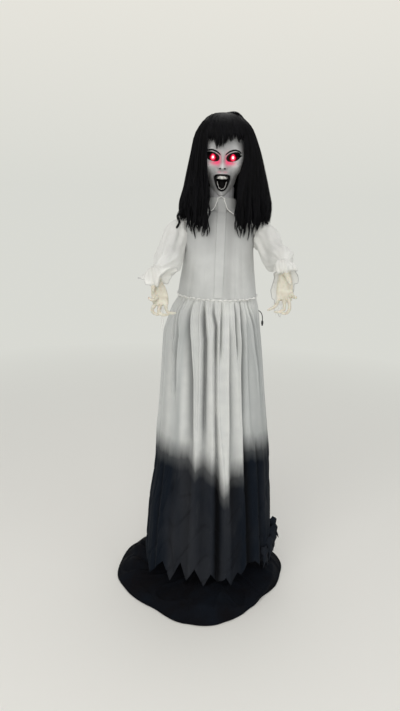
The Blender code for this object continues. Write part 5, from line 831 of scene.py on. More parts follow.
def build_bodice():
    """The dress body: smooth over the chest, drawn into soft folds towards the waist seam."""
    share, angle = np.meshgrid(np.linspace(0.0, 1.0, 120), round_angles(300),
                               indexing="ij")
    turn = np.degrees(np.arctan2(np.cos(angle), -np.sin(angle)))
    low = 1 - ramp(share, 0.1, 0.85)
    folds = np.zeros_like(share)
    for place, width, depth in BODICE_FOLDS:
        gap = (turn - place + 180) % 360 - 180
        folds -= depth * np.exp(-np.abs(gap / width) ** 1.5)
    folds *= 0.35 + 0.65 * low
    folds *= 1 - ramp(share, 0.86, 0.97)
    gathers = 0.0012 * np.sin(angle * 64 + 2.2 * np.sin(angle * 9)) * np.exp(-share / 0.03)
    ease = 0.0006 * waves(3, angle * 3, share * 6, 6, 1.0, 3.0) * (1 - ramp(share, 0.9, 1.0))
    rows = torso(share, angle)
    out = rows * (1.0, 1.4, 0.0)
    out /= np.linalg.norm(out, axis=2, keepdims=True)
    rows = rows + out * (folds + gathers + ease + 0.0002)[..., None]
    rows[..., 2] += (WAIST_LINE - WAIST + WAIST_RISE * np.abs(np.cos(angle))) * (1 - share) ** 6
    reach = np.hypot(rows[..., 1], rows[..., 2] - SHOULDER)
    inside = (reach < ARMHOLE) & (np.abs(rows[..., 0]) > 0.06)
    scale = np.where(inside, ARMHOLE / np.maximum(reach, 1e-6), 1.0)
    near = inside & (reach > ARMHOLE - 0.005)
    rows[..., 1] = np.where(near, rows[..., 1] * scale, rows[..., 1])
    rows[..., 2] = np.where(near, SHOULDER + (rows[..., 2] - SHOULDER) * scale, rows[..., 2])
    bodice = sheet_piece("dress_body", rows, DRESS_CLOTH, drop=inside)
    points = np.array([vert.co for vert in bodice.data.vertices])
    place, level = points[:, 0], points[:, 2]
    # Painted shade: darker towards the neck under the head, in a band on the figure's left of the middle and a
    # patch high on its right, a little lighter low on its right, and even on the back
    grey = 0.16 + 0.46 * ramp(level, 1.08, 1.22) + 0.18 * np.exp(-((place - 0.031) / 0.012) ** 4)
    grey += 0.2 * spot(place, level, -0.03, 1.185, 0.016, 0.035)
    grey -= 0.1 * spot(place, level, -0.045, 1.06, 0.03, 0.06)
    attribute(bodice, "painted_shade", np.clip(grey * (points[:, 1] < 0) + 0.25 * (points[:, 1] >= 0), 0, 1))
    thicken(bodice, DRESS_THICKNESS)
    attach(bodice, "torso")
    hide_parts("bodice")

    ring = round_angles(420)
    seam = torso(np.full_like(ring, 0.004), ring, 0.0008 + 0.001 * np.sin(ring * 47 + 2 * np.sin(ring * 6)))
    seam[:, 2] = (WAIST_LINE + WAIST_RISE * np.abs(np.cos(ring))
                  + 0.0012 * np.sin(ring * 31 + 3 * np.sin(ring * 4)))
    bulges = 0.0018 + 0.001 * np.sin(ring * 61 + 2 * np.sin(ring * 8))
    waist_seam = tube("waist_seam", seam, bulges, TRIM_CLOTH, 8, closed=True)
    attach(waist_seam, "torso")
    trims = [waist_seam, build_placket()]
    for name, side in (("left", 1.0), ("right", -1.0)):
        circle = np.stack([np.full_like(ring, side * ARMHOLE_PLACE), ARMHOLE * 1.02 * np.cos(ring),
                           SHOULDER + ARMHOLE * 1.02 * np.sin(ring)], axis=-1)
        welt = tube("armhole_seam_" + name, circle, 0.0011, TRIM_CLOTH, 8, closed=True)
        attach(welt, "torso")
        trims.append(welt)


def build_collar():
    """A stand round the neck that turns over into two flaps, parted at the throat, with one piped edge."""
    stand_top, stand_foot, inner_radius, outer_radius = 1.276, 1.2475, 0.0425, 0.0442
    around = round_angles(220)
    rim_round = stand_top + 0.006 * np.maximum(0, -np.sin(around))
    inner = [np.stack([inner_radius * np.cos(around), inner_radius * np.sin(around),
                       stand_foot - 0.01 + (rim_round - 0.001 - stand_foot + 0.01) * part], axis=-1)
             for part in np.linspace(0, 1, 12)]
    parts = [sheet_piece("collar_stand", np.array(inner), DRESS_CLOTH, outward=(0, 0, 1.26))]
    fronts = []
    for side in (1.0, -1.0):
        degrees = np.linspace(13.0, 178.5, 110)
        angle = side * np.radians(degrees) - math.pi / 2
        width = 0.004 + 0.06 * ramp(degrees, 6.0, 44.0) * (1 - 0.25 * ramp(degrees, 60.0, 120.0))
        rim = stand_top + 0.006 * np.maximum(0, -np.sin(angle))
        length = rim - stand_foot
        rows = []
        for part in np.linspace(0, 1, 28):
            run = part * width
            on_stand = np.clip(run / length, 0, 1)
            radius = outer_radius + 0.004 * on_stand
            stand = np.stack([radius * np.cos(angle), radius * np.sin(angle), rim - length * on_stand], axis=-1)
            beyond = np.clip((run - length) / 0.3 * 1.25, 0, 0.2)
            body = torso(1.0 - beyond, angle, 0.0034)
            share = ramp(run, length * 0.75, length * 1.35)[:, None]
            rows.append(stand * (1 - share) + body * share)
        rows = np.array(rows)
        rows[..., 2] += 0.0005 * waves(11, rows[..., 0] * 60, rows[..., 1] * 60)
        parts.append(sheet_piece("collar_flap", rows, DRESS_CLOTH, around=False, outward=(0, 0, 1.2)))
        fronts.append(np.vstack([rows[:, 0], rows[-1, 1:]]))
    throat = np.radians(np.linspace(11.0, -11.0, 9)) - math.pi / 2
    arch = np.stack([0.0456 * np.cos(throat), 0.0456 * np.sin(throat),
                     stand_top + 0.0015 + 0.006 * np.cos((throat + math.pi / 2) * 7.5)], axis=-1)
    edge = np.vstack([fronts[0][::-1][::3], arch, fronts[1][::3]])
    piping = tube("collar_piping", smooth_line(edge, 260) + (0.0, -0.0004, 0.0003), 0.0013, PIPING, 8)
    collar = joined("dress_collar", [thicken(part, 0.001) for part in parts])
    # Painted shade all over the collar, which lies in the hair's shadow
    attribute(collar, "painted_shade", 0.42)
    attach(collar, "torso")
    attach(piping, "torso")
    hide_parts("collar")


def read_down(table, height):
    """Reads a table whose heights run downward."""
    return np.interp(-height, [-row[0] for row in table], [row[1] for row in table])


def skirt_folds(turn, height, top):
    """How far each point of the skirt stands in or out, from its folds, gathers and creases."""
    pick = np.random.default_rng(21)
    folds = list(FRONT_FOLDS)
    place = 84.0
    while place < 280.0:
        drift, deep = pick.uniform(-5, 5), pick.uniform(0.007, 0.013)
        folds.append((((0.97, place), (0.5, place + drift), (0.06, place + drift * 1.5)),
                      ((0.985, 0.004), (0.93, deep), (0.5, deep * 0.9), (0.06, deep * 0.7)),
                      pick.uniform(0.004, 0.011), pick.uniform(0.004, 0.011)))
        place += pick.uniform(9.0, 16.0)
    widening = read_down(FOLD_WIDENING, height)
    total = np.zeros_like(turn)
    for places, depths, before, after in folds:
        depth = read_down(depths, height)
        gap = np.radians((turn - read_down(places, height) + 180) % 360 - 180) * FOLD_RADIUS
        reach = np.abs(gap) / (np.where(gap < 0, before, after) * widening)
        strength = 1.0 + 0.55 * ramp(height, 0.45, 0.75)
        total += depth * strength * (0.3 * np.exp(-(reach - 2.3) ** 2) - np.exp(-reach ** 1.6))
    total *= ramp(top - height, 0.0, 0.016)
    angle = np.radians(turn)
    fall = np.maximum(0, top - height)
    gathers = (np.sin(angle * 58 + 2.5 * np.sin(angle * 7 + 1))
               + 0.6 * np.sin(angle * 91 + 3 * np.sin(angle * 5)))
    total += 0.0019 * gathers * np.exp(-fall / 0.03) * ramp(fall, 0.0, 0.004)
    total += 0.0018 * waves(5, angle * 5, height * 6, 8, 1.0, 3.5) * ramp(fall, 0.1, 0.4)
    creases = np.abs(waves(9, angle * 9 - height * 7, height * 16, 7, 0.8, 2.2))
    total -= 0.003 * np.exp(-(creases / 0.1) ** 2) * ramp(fall, 0.45, 0.65)
    return total


def hem_height(turn):
    """The height of the ragged hem: teeth placed one by one in front, seeded ones like them behind."""
    pick = np.random.default_rng(8)
    marks = list(HEM_TIPS) + list(HEM_VALLEYS)
    place = 72.0
    while place < 284.0:
        marks.append((place, pick.uniform(0.112, 0.14)))
        marks.append((place + pick.uniform(7, 9), pick.uniform(0.06, 0.08)))
        place += pick.uniform(15.0, 18.0)
    marks = sorted(((angle + 180) % 360 - 180, height) for angle, height in marks)
    angles = np.array([mark[0] for mark in marks])
    heights = np.array([mark[1] for mark in marks])
    angles = np.concatenate([[angles[-1] - 360], angles, [angles[0] + 360]])
    heights = np.concatenate([[heights[-1]], heights, [heights[0]]])
    return np.interp(turn, angles, heights)


def build_skirt():
    """The long skirt: gathered into the waist seam, in deep folds, dip-dyed, with a torn hem."""
    turn = np.concatenate([np.linspace(start, end, count, endpoint=False)
                           for start, end, count in ((-180, -90, 130), (-90, 90, 620), (90, 180, 130))])
    level = np.concatenate([np.linspace(0, 0.1, 40, endpoint=False), np.linspace(0.1, 1.0, 140)])
    turns, shares = np.meshgrid(turn, level)
    top = WAIST_LINE + WAIST_RISE * np.abs(np.sin(np.radians(turns)))
    height = top + (hem_height(turns) - top) * shares
    down = (SKIRT_TOP - height) / (SKIRT_TOP - SKIRT_FOOT)
    out = skirt_folds(turns, height, top)
    angle = np.radians(turns) - math.pi / 2
    half = np.where(np.cos(angle) > 0, curve(SKIRT, down, 1), curve(SKIRT, down, 2))
    x, y = oval(angle, half + out, curve(SKIRT, down, 3) + out, SKIRT_SQUARENESS)
    rows = np.stack([x, y, height], axis=-1)
    edge = read_table(DYE_EDGE, turns)
    skirt = piece("dress_skirt", rows, grid_faces(len(level), len(turn), True), SKIRT_CLOTH, grid_uv(rows),
                  (0, 0, 0.5))
    attribute(skirt, "dye", np.clip(0.5 + (edge - height) / DYE_BAND, 0, 1))
    soft = 0.1 * waves(61, np.radians(turns) * 14, height * 10, 7, 0.8, 2.4)
    # Painted shade by angle round the skirt and in its fold valleys, both growing below the waist; the charcoal is
    # the dye's own tone.
    tones = {"painted_shade": (read_table(SIDE_SHADE, turns) + soft) * ramp(top - height, 0.0, 0.1),
             "valley_shade": np.clip(-out / VALLEY_SHADE_DEPTH, 0, 1) ** 1.3 * ramp(top - height, 0.0, 0.09),
             "charcoal": read_table(CHARCOAL, turns) + 1.6 * soft}
    for name, values in tones.items():
        attribute(skirt, name, np.clip(values, 0, 1))
    thicken(skirt, DRESS_THICKNESS)
    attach(skirt, "torso")
    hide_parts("skirt")
    tatters = build_tatters()


STRIP_POINTS = 22


def strip(name, start, directions, width, seed, material):
    """A torn strip of cloth from a place, pointed at its end and twisted a little."""
    pick = np.random.default_rng(seed)
    path = smooth_line([start] + [np.array(start) + np.array(move) for move in directions], STRIP_POINTS)
    tangents, _, _ = frames(path)
    across = np.cross(tangents, np.array([0.25, -1.0, 0.1]))
    across /= np.linalg.norm(across, axis=1)[:, None]
    part = np.linspace(0, 1, STRIP_POINTS)
    half = width / 2 * (1 - part ** 1.6) * (1 + 0.22 * np.sin(part * 17 + pick.uniform(0, 6)))
    rows = []
    for share in np.linspace(-1, 1, 5):
        curl = 0.25 * width * (1 - share ** 2)
        rows.append(path + across * (half * share)[:, None] + np.array([0.0, -curl, 0.0]))
    return sheet_piece(name, np.array(rows), material, around=False, outward=tuple(np.array(start) + (0, 1, 0)))


def build_tatters():
    """Torn ends that stand off the skirt at its left side, near the hem."""
    parts = []
    for index, (turn, height, moves, width) in enumerate((
            (84, 0.235, ((0.012, -0.002, -0.02), (0.022, -0.004, -0.045), (0.034, -0.006, -0.066)), 0.034),
            (78, 0.215, ((0.01, -0.006, -0.022), (0.016, -0.01, -0.05), (0.018, -0.012, -0.082)), 0.036),
            (70, 0.19, ((0.006, -0.008, -0.02), (0.01, -0.012, -0.046), (0.008, -0.014, -0.08)), 0.034),
            (60, 0.17, ((0.004, -0.01, -0.02), (0.006, -0.014, -0.045), (0.002, -0.016, -0.07)), 0.028),
            (92, 0.205, ((0.008, 0.004, -0.02), (0.012, 0.006, -0.044), (0.012, 0.008, -0.076)), 0.034))):
        down = (SKIRT_TOP - height) / (SKIRT_TOP - SKIRT_FOOT)
        x, y = oval(math.radians(turn) - math.pi / 2, float(curve(SKIRT, down, 1)),
                    float(curve(SKIRT, down, 3)), SKIRT_SQUARENESS)
        parts.append(strip("hem_tatter", (float(x), float(y), height), moves, width, 40 + index, SKIRT_CLOTH))
    tatters = joined("hem_tatters", [thicken(part, 0.0007) for part in parts])
    for tone, amount in (("dye", 1.0), ("charcoal", 0.35), ("painted_shade", 0.0), ("valley_shade", 0.0)):
        attribute(tatters, tone, amount)
    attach(tatters, "torso")
    return tatters


# Base cover

# Outline of the cloth on the floor: angle, distance from the pole
COVER_RIM = ((-190, 0.302), (-170.2, 0.3065), (-150.7, 0.2893), (-125.6, 0.2627), (-108.2, 0.282),
             (-84.9, 0.28), (-72.8, 0.2662), (-53.9, 0.242), (-33.5, 0.229), (-11.7, 0.2529), (0.4, 0.263),
             (10.2, 0.276), (17.1, 0.281), (31.3, 0.278), (60.0, 0.266), (88.0, 0.276), (118.0, 0.268),
             (138.1, 0.3), (150.5, 0.298), (160.4, 0.308), (170.0, 0.302))
# Its fall from the hub to the leg caps: share of the way out, share of the height
COVER_PROFILE_ON_LEG = ((0.0, 1.0), (0.2, 0.68), (0.6, 0.26), (1.0, 0.0))
COVER_PROFILE_BETWEEN = ((0.0, 1.0), (0.2, 0.52), (0.6, -0.12), (1.0, -0.46))


def build_cover():
    """Black cloth laid over the base: ridges over the four legs, sags and creases between, a turned hem."""
    columns = 420
    angle = round_angles(columns)
    degrees = (np.degrees(angle) + 180) % 360 - 180
    rim = read_table(COVER_RIM, degrees)
    rim = (rim + np.roll(rim, 4) + np.roll(rim, -4)) / 3
    rim = rim + 0.0014 * waves(31, np.cos(angle) * 9, np.sin(angle) * 9, 7, 1.0, 4.0)
    on_leg = (0.5 + 0.5 * np.cos(4 * angle)) ** 1.5
    hub_edge, cap_edge, hub_top, cap_top, hem, inner_share = 0.0205, 0.236, 0.0875, 0.0368, 0.003, 0.72
    rows = [np.stack([0.0134 * np.cos(angle), 0.0134 * np.sin(angle), np.full(columns, hub_top)], axis=-1)]
    for part in np.linspace(0, 1, 58):
        if part < inner_share:
            share = part / inner_share
            radius = hub_edge + (cap_edge - hub_edge) * share
            height_on = curve(COVER_PROFILE_ON_LEG, share)
            height_between = curve(COVER_PROFILE_BETWEEN, share)
            height = cap_top + (hub_top - cap_top) * (height_between + (height_on - height_between) * on_leg)
            radius = np.full(columns, radius)
        else:
            share = (part - inner_share) / 0.28
            radius = cap_edge + (rim - cap_edge) * share
            height_on = float(curve(((0.0, 1.0), (0.35, 0.66), (0.72, 0.24), (1.0, 0.0)), share))
            height_between = float(curve(((0.0, -0.1), (0.35, 0.3), (0.72, 0.16), (1.0, 0.0)), share))
            edge_on, edge_between = cap_top, cap_top + (hub_top - cap_top) * -0.46
            drop_on = hem + (edge_on - hem) * height_on
            drop_between = hem + (edge_between - hem) * (1 - ramp(share, 0.0, 1.0)) + 0.006 * height_between
            height = drop_between + (drop_on - drop_between) * on_leg
        creases = np.exp(-(waves(33, angle * 7 + radius * 9, radius * 26, 7, 0.8, 2.4) / 0.16) ** 2)
        folds = 0.5 + 0.5 * waves(35, angle * 9, radius * 7, 6, 1.0, 3.0)
        height = height + (0.0065 * folds + 0.0055 * creases) * ramp(radius, 0.05, 0.18) * (
            1 - 0.55 * ramp(radius / rim, 0.93, 1.0))
        bundle = 1 - ramp(np.abs((degrees - 168 + 180) % 360 - 180), 14.0, 42.0)
        ridge = 0.6 + 0.4 * np.sin(angle * 31 + radius * 60 + 2 * np.sin(angle * 9))
        height = height + 0.03 * bundle * ridge * np.exp(-((radius - 0.242) / 0.038) ** 2)
        height = np.maximum(height, 0.0026)
        rows.append(np.stack([radius * np.cos(angle), radius * np.sin(angle), height], axis=-1))
    lip = rows[-1].copy()
    lip[..., 2] = 0.0022
    lip[..., :2] *= 1.006
    rows.append(lip)
    cover = sheet_piece("base_cloth", np.array(rows), COVER_CLOTH, outward=(0, 0, -3))
    thicken(cover, 0.0014)
    hem_ring = np.array(rows[-1]) * (0.994, 0.994, 1.0) + (0.0, 0.0, 0.0016)
    roll = tube("base_cloth_hem", hem_ring, 0.0021, COVER_CLOTH, 8, closed=True)
    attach(cover, "stand")
    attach(roll, "stand")
    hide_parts("base_cover")


# Hands: palm sections (place, half width, half thickness), then thumb and fingers as lines of places
HANDS = {
    "left": {
        "palm": ((0.1705, -0.218, 1.117, 0.013, 0.0125), (0.1713, -0.235, 1.109, 0.0132, 0.012),
                 (0.1775, -0.244, 1.092, 0.0175, 0.0125), (0.1785, -0.257, 1.064, 0.0215, 0.0115),
                 (0.1785, -0.27, 1.036, 0.0225, 0.0095), (0.1785, -0.2745, 1.027, 0.02, 0.0075)),
        "thumb": ((0.1766, -0.248, 1.105), (0.18, -0.272, 1.095), (0.186, -0.286, 1.082),
                  (0.1884, -0.291, 1.0745)),
        "fingers": (((0.193, -0.264, 1.052), (0.199, -0.28, 1.04), (0.205, -0.292, 1.0385),
                     (0.2045, -0.3, 1.0375)),
                    ((0.185, -0.266, 1.045), (0.19, -0.285, 1.025), (0.19, -0.3, 1.008),
                     (0.183, -0.304, 0.9985), (0.172, -0.301, 0.996)),
                    ((0.1745, -0.268, 1.042), (0.178, -0.285, 1.022), (0.176, -0.298, 1.007),
                     (0.165, -0.302, 1.0005), (0.152, -0.3, 1.0)),
                    ((0.165, -0.264, 1.045), (0.162, -0.277, 1.028), (0.156, -0.287, 1.016),
                     (0.146, -0.293, 1.008), (0.1346, -0.295, 1.0027)))},
    "right": {
        "palm": ((-0.1713, -0.21, 1.084, 0.013, 0.0125), (-0.1713, -0.2244, 1.079, 0.0132, 0.0122),
                 (-0.168, -0.235, 1.066, 0.014, 0.0122), (-0.159, -0.25, 1.042, 0.0205, 0.0115),
                 (-0.152, -0.26, 1.014, 0.023, 0.01), (-0.149, -0.265, 0.998, 0.0205, 0.008)),
        "thumb": ((-0.167, -0.241, 1.07), (-0.168, -0.26, 1.06), (-0.17, -0.269, 1.048),
                  (-0.1702, -0.272, 1.0385)),
        "fingers": (((-0.156, -0.26, 1.024), (-0.165, -0.278, 1.015), (-0.175, -0.283, 1.016),
                     (-0.181, -0.279, 1.021)),
                    ((-0.16, -0.261, 1.006), (-0.169, -0.278, 0.994), (-0.17, -0.286, 0.986),
                     (-0.163, -0.287, 0.979), (-0.15, -0.284, 0.9765)),
                    ((-0.149, -0.262, 1.005), (-0.153, -0.28, 0.99), (-0.15, -0.288, 0.981),
                     (-0.14, -0.29, 0.9775), (-0.127, -0.287, 0.978)),
                    ((-0.138, -0.26, 1.006), (-0.134, -0.275, 0.992), (-0.129, -0.283, 0.985),
                     (-0.12, -0.286, 0.9825), (-0.1082, -0.285, 0.983)))}}


PALM_ROWS, PALM_SIDES, FINGER_ROWS = 24, 22, 28


def build_hand(side):
    """A slim vinyl hand with its palm to the front: palm with tendons, thumb, four fingers curled inward."""
    form = HANDS[side]
    palm = np.array(form["palm"])
    dense = smooth_line(palm[:, :3], PALM_ROWS)
    place = np.linspace(0, len(palm) - 1, PALM_ROWS)
    widths = np.interp(place, np.arange(len(palm)), palm[:, 3])
    depths = np.interp(place, np.arange(len(palm)), palm[:, 4])
    tangents, _, _ = frames(dense)
    wide = np.tile((1.0, 0.0, 0.0), (PALM_ROWS, 1))
    wide -= tangents * (wide * tangents).sum(1)[:, None]
    wide /= np.linalg.norm(wide, axis=1)[:, None]
    thick = np.cross(tangents, wide)
    ring = round_angles(PALM_SIDES)
    ox, oy = oval(ring, 1.0, 1.0, 2.4)
    rows = (dense[:, None] + wide[:, None] * ox[None, :, None] * widths[:, None, None]
            + thick[:, None] * oy[None, :, None] * depths[:, None, None])
    faces = grid_faces(PALM_ROWS, PALM_SIDES, True).tolist() + end_faces(PALM_ROWS, PALM_SIDES)
    parts = [piece("palm", rows, faces, HAND_SKIN)]
    for index, line in enumerate((form["thumb"],) + form["fingers"]):
        path = smooth_line(line, FINGER_ROWS)
        part = np.linspace(0, 1, FINGER_ROWS)
        if index:
            radius = np.interp(part, (0, 0.35, 0.75, 0.93, 1), (0.0056, 0.0048, 0.004, 0.0033, 0.0022))
            joints = (0.32, 0.62, 0.84)
        else:
            radius = np.interp(part, (0, 0.4, 0.8, 1), (0.0085, 0.0075, 0.0064, 0.004))
            joints = (0.45, 0.78)
        for joint in joints:
            radius = radius * (1 + 0.13 * np.exp(-((part - joint) / 0.05) ** 2))
        parts.append(tube("finger", path, radius, HAND_SKIN, 12))
        if index:
            start = palm[1, :3] + (palm[-2, :3] - palm[1, :3]) * 0.25 + (0.0, -0.006, 0.0)
            tendon = smooth_line((start, (start + path[0]) / 2 + (0, -0.005, 0), path[3]), 12)
            parts.append(tube("tendon", tendon, 0.004, HAND_SKIN, 8))
    thumb = np.array(form["thumb"])
    parts.append(tube("thumb_ball", smooth_line((palm[1, :3], thumb[0], thumb[1]), 12),
                      np.interp(np.linspace(0, 1, 12), (0, 0.5, 1), (0.01, 0.0115, 0.008)), HAND_SKIN, 12))
    hand = joined("figure_hand_" + side, parts)
    fuse = hand.modifiers.new("Fuse", "REMESH")
    fuse.mode = "VOXEL"
    fuse.voxel_size = 0.001
    relax = hand.modifiers.new("Relax", "SMOOTH")
    relax.factor = 0.5
    relax.iterations = 4
    settle(hand)
    hand.data.materials.clear()
    hand.data.materials.append(HAND_SKIN)
    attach(hand, "arm_" + side)
    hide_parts("hand_" + side)


# Sleeves: centre, half width across and half height of the rings from armhole to wrist
SLEEVES = {
    "left": ((0.1043, 0.0, 1.172, 0.0325, 0.0325), (0.113, -0.001, 1.1735, 0.0385, 0.0395),
             (0.131, -0.009, 1.17, 0.04, 0.042), (0.147, -0.033, 1.157, 0.037, 0.039),
             (0.158, -0.072, 1.127, 0.03, 0.046), (0.168, -0.12, 1.124, 0.029, 0.039),
             (0.1755, -0.17, 1.129, 0.029, 0.032), (0.18, -0.2, 1.129, 0.0245, 0.024),
             (0.177, -0.219, 1.122, 0.018, 0.0175), (0.1735, -0.232, 1.116, 0.0165, 0.0155)),
    "right": ((-0.1043, 0.0, 1.172, 0.0325, 0.0325), (-0.112, -0.001, 1.1755, 0.0385, 0.04),
              (-0.124, -0.008, 1.17, 0.04, 0.043), (-0.135, -0.03, 1.148, 0.037, 0.044),
              (-0.142, -0.07, 1.117, 0.037, 0.048), (-0.1445, -0.115, 1.103, 0.0385, 0.044),
              (-0.143, -0.16, 1.097, 0.036, 0.037), (-0.15, -0.195, 1.092, 0.0285, 0.027),
              (-0.162, -0.215, 1.085, 0.019, 0.018), (-0.169, -0.226, 1.081, 0.0168, 0.0158))}
# Rims of the loose cuffs: angle from the figure's left towards the top, then place
CUFF_RIMS = {
    "left": ((0, 0.1513, -0.246, 1.0971), (40, 0.156, -0.266, 1.1), (75, 0.1692, -0.272, 1.096),
             (110, 0.185, -0.268, 1.1), (145, 0.2058, -0.252, 1.106), (180, 0.215, -0.238, 1.0853),
             (215, 0.208, -0.225, 1.0478), (238, 0.1978, -0.216, 1.0156), (248, 0.188, -0.213, 1.01),
             (256, 0.1861, -0.213, 0.9922), (264, 0.18, -0.212, 0.988), (272, 0.1772, -0.212, 0.9634),
             (282, 0.166, -0.213, 0.992), (290, 0.158, -0.214, 0.985), (304, 0.1567, -0.218, 1.0142),
             (330, 0.1444, -0.228, 1.043), (347, 0.1486, -0.238, 1.0691), (360, 0.1513, -0.246, 1.0971)),
    "right": ((0, -0.2124, -0.25, 1.069), (30, -0.195, -0.264, 1.062), (58, -0.176, -0.274, 1.05),
              (84, -0.16, -0.274, 1.05), (105, -0.149, -0.268, 1.078), (130, -0.128, -0.262, 1.097),
              (165, -0.1074, -0.245, 1.099), (205, -0.1239, -0.232, 1.0736), (240, -0.1433, -0.222, 1.0468),
              (280, -0.1651, -0.222, 1.056), (325, -0.1912, -0.234, 1.064), (360, -0.2124, -0.25, 1.069))}


# Torn strips under the cuffs: start from the wrist, moves, width
CUFF_TAILS = {
    "left": (((0.004, 0.004, -0.06), ((-0.003, 0.0, -0.03), (0.001, 0.001, -0.06), (-0.002, 0.0, -0.09)),
              0.012),
             ((-0.008, 0.006, -0.06), ((0.002, 0.0, -0.026), (0.0, 0.0, -0.052), (-0.003, 0.0, -0.082)),
              0.012)),
    "right": (((0.019, 0.004, -0.06), ((0.001, 0.0, -0.035), (0.003, 0.001, -0.072), (0.001, 0.0, -0.108)),
               0.011),
              ((0.012, 0.006, -0.06), ((0.003, 0.0, -0.03), (0.006, 0.0, -0.066), (0.004, 0.0, -0.098)),
               0.008))}


def build_sleeve(side):
    """A full sheer sleeve: gathered at the armhole, drawn in at the wrist, then a loose torn cuff."""
    form = np.array(SLEEVES[side])
    count, sides, cuff_rows = 110, 112, 26
    seed = 51 if side == "left" else 71
    centre = smooth_line(form[:, :3], count)
    spots = np.concatenate([[0], np.cumsum(np.linalg.norm(np.diff(form[:, :3], axis=0), axis=1))])
    part = np.linspace(0, 1, count)
    half_across = curve(list(zip(spots / spots[-1], form[:, 3])), part)
    half_up = curve(list(zip(spots / spots[-1], form[:, 4])), part)
    tangents = np.gradient(centre, axis=0)
    outward = 1.0 if side == "left" else -1.0
    tangents = tangents * ramp(part, 0.0, 0.05)[:, None] + np.array((outward * 0.004, 0, 0)) * (
        1 - ramp(part, 0.0, 0.05))[:, None]
    tangents /= np.linalg.norm(tangents, axis=1)[:, None]
    across = np.cross(tangents, (0.0, 0.0, 1.0))
    across /= np.linalg.norm(across, axis=1)[:, None]
    above = np.cross(across, tangents)
    angle = round_angles(sides)
    share, turn = np.meshgrid(part, angle, indexing="ij")
    full = ramp(share, 0.03, 0.18) * (1 - ramp(share, 0.84, 0.97))
    drawn = np.exp(-share / 0.045) + np.exp(-(1 - share) / 0.05)
    ease = full * (0.0026 * waves(seed, np.cos(turn) * 2.0, np.sin(turn) * 2.0 + share * 4.5, 7, 0.8, 2.2)
                   + 0.0016 * np.sin(turn * 6 + share * 5 + seed)
                   + 0.0012 * np.sin(turn * 11 + share * 3 + seed * 2))
    ease = ease + 0.001 * drawn * np.sin(turn * 24 + 1.5 * np.sin(turn * 4)) * ramp(share, 0.0, 0.02)
    rows = (centre[:, None] + across[:, None] * (np.cos(turn) * (half_across[:, None] + ease))[..., None]
            + above[:, None] * (np.sin(turn) * (half_up[:, None] + ease))[..., None])
    rim = np.array(CUFF_RIMS[side])
    degrees = np.degrees(angle)
    edge = np.stack([np.interp(degrees, rim[:, 0], rim[:, column]) for column in (1, 2, 3)], axis=-1)
    edge = (edge + np.roll(edge, 1, axis=0) + np.roll(edge, -1, axis=0)) / 3
    ring = rows[-1]
    flare = []
    for step in np.linspace(0, 1, cuff_rows + 1)[1:]:
        line = ring + (edge - ring) * step
        away = line - centre[-1]
        away /= np.linalg.norm(away, axis=1)[:, None]
        above_wrist = np.clip(np.sin(angle), 0.0, 1.0) * (1.0 if side == "right" else 0.7)
        swell = (0.004 + 0.015 * above_wrist) * math.sin(math.pi * step ** 0.85)
        ruffle = step * (0.0038 * np.sin(angle * 8 + seed) + 0.0024 * np.sin(angle * 15 + seed * 2))
        line = line + away * (swell + ruffle)[:, None]
        line[:, 1] -= 0.01 * above_wrist * math.sin(math.pi * step)
        flare.append(line)
    rows = np.concatenate([rows, np.array(flare)])
    sleeve = sheet_piece("dress_sleeve_" + side, rows, SHEER, outward=tuple(centre[count // 2]))
    thin = np.zeros(rows.shape[:2])
    reach = np.linspace(0, 1, cuff_rows)[:, None] * np.ones(sides)
    thinnest = 0.15 if side == "left" else 0.0
    thin[count:] = ramp(reach, 0.0, 0.5) * thinnest * (np.sin(angle) < 0.25)
    attribute(sleeve, "thin", thin)
    band = tube("cuff_band_" + side, smooth_loop(rows[count - 2], 90), 0.0018, SHEER, 8, closed=True)
    attribute(band, "thin", 0.0)
    hem = tube("cuff_hem_" + side, smooth_loop(flare[-1], 260), 0.0008, DRESS_CLOTH, 6, closed=True)
    # Painted shade makes the cuff's hem a darker line
    attribute(hem, "painted_shade", 0.4)
    strips = [band, hem]
    for index, (offset, moves, width) in enumerate(CUFF_TAILS[side]):
        begin = centre[-1] + np.array(offset)
        strips.append(strip("cuff_strip", tuple(begin), moves, width, seed + index, SHEER))
        attribute(strips[-1], "thin", 0.2)
    rags = joined("cuff_rags_" + side, strips)
    body = "arm_" + side
    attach(rags, body)
    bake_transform(sleeve)
    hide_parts("sleeve_" + side)


# Head

HEAD_CENTRE = 1.4
HEAD_WIDTH = 0.069
HEAD_DEPTH = 0.087
MASK_THICKNESS = 0.0016
# Broad shapes of the face in head widths: place across, place up, spread across, spread up, amount
FACE = ((0.0, -0.16, 0.1, 0.26, 0.1), (0.0, -0.49, 0.115, 0.12, 0.185), (0.135, -0.53, 0.075, 0.065, 0.06),
        (0.412, -0.135, 0.225, 0.165, -0.13), (0.42, 0.16, 0.3, 0.08, 0.036),
        (0.64, -0.46, 0.22, 0.2, 0.08), (0.61, -1.05, 0.17, 0.28, -0.03),
        (0.0, -1.13, 0.3, 0.36, 0.055), (0.0, -1.62, 0.24, 0.13, 0.13))
EYE_X, EYE_Z, EYE_WIDTH, EYE_HEIGHT = 0.0282, 1.3905, 0.013, 0.0096
MOUTH_Z, MOUTH_WIDTH, MOUTH_HEIGHT = 1.3227, 0.0172, 0.0182
# The brow's arch over the eye: place outward from the eye's middle, height above it
BROW = ((-0.0215, 0.006), (-0.016, 0.0112), (-0.0093, 0.0158), (0.0, 0.019), (0.006, 0.0199), (0.0165, 0.0182),
        (0.0225, 0.014))


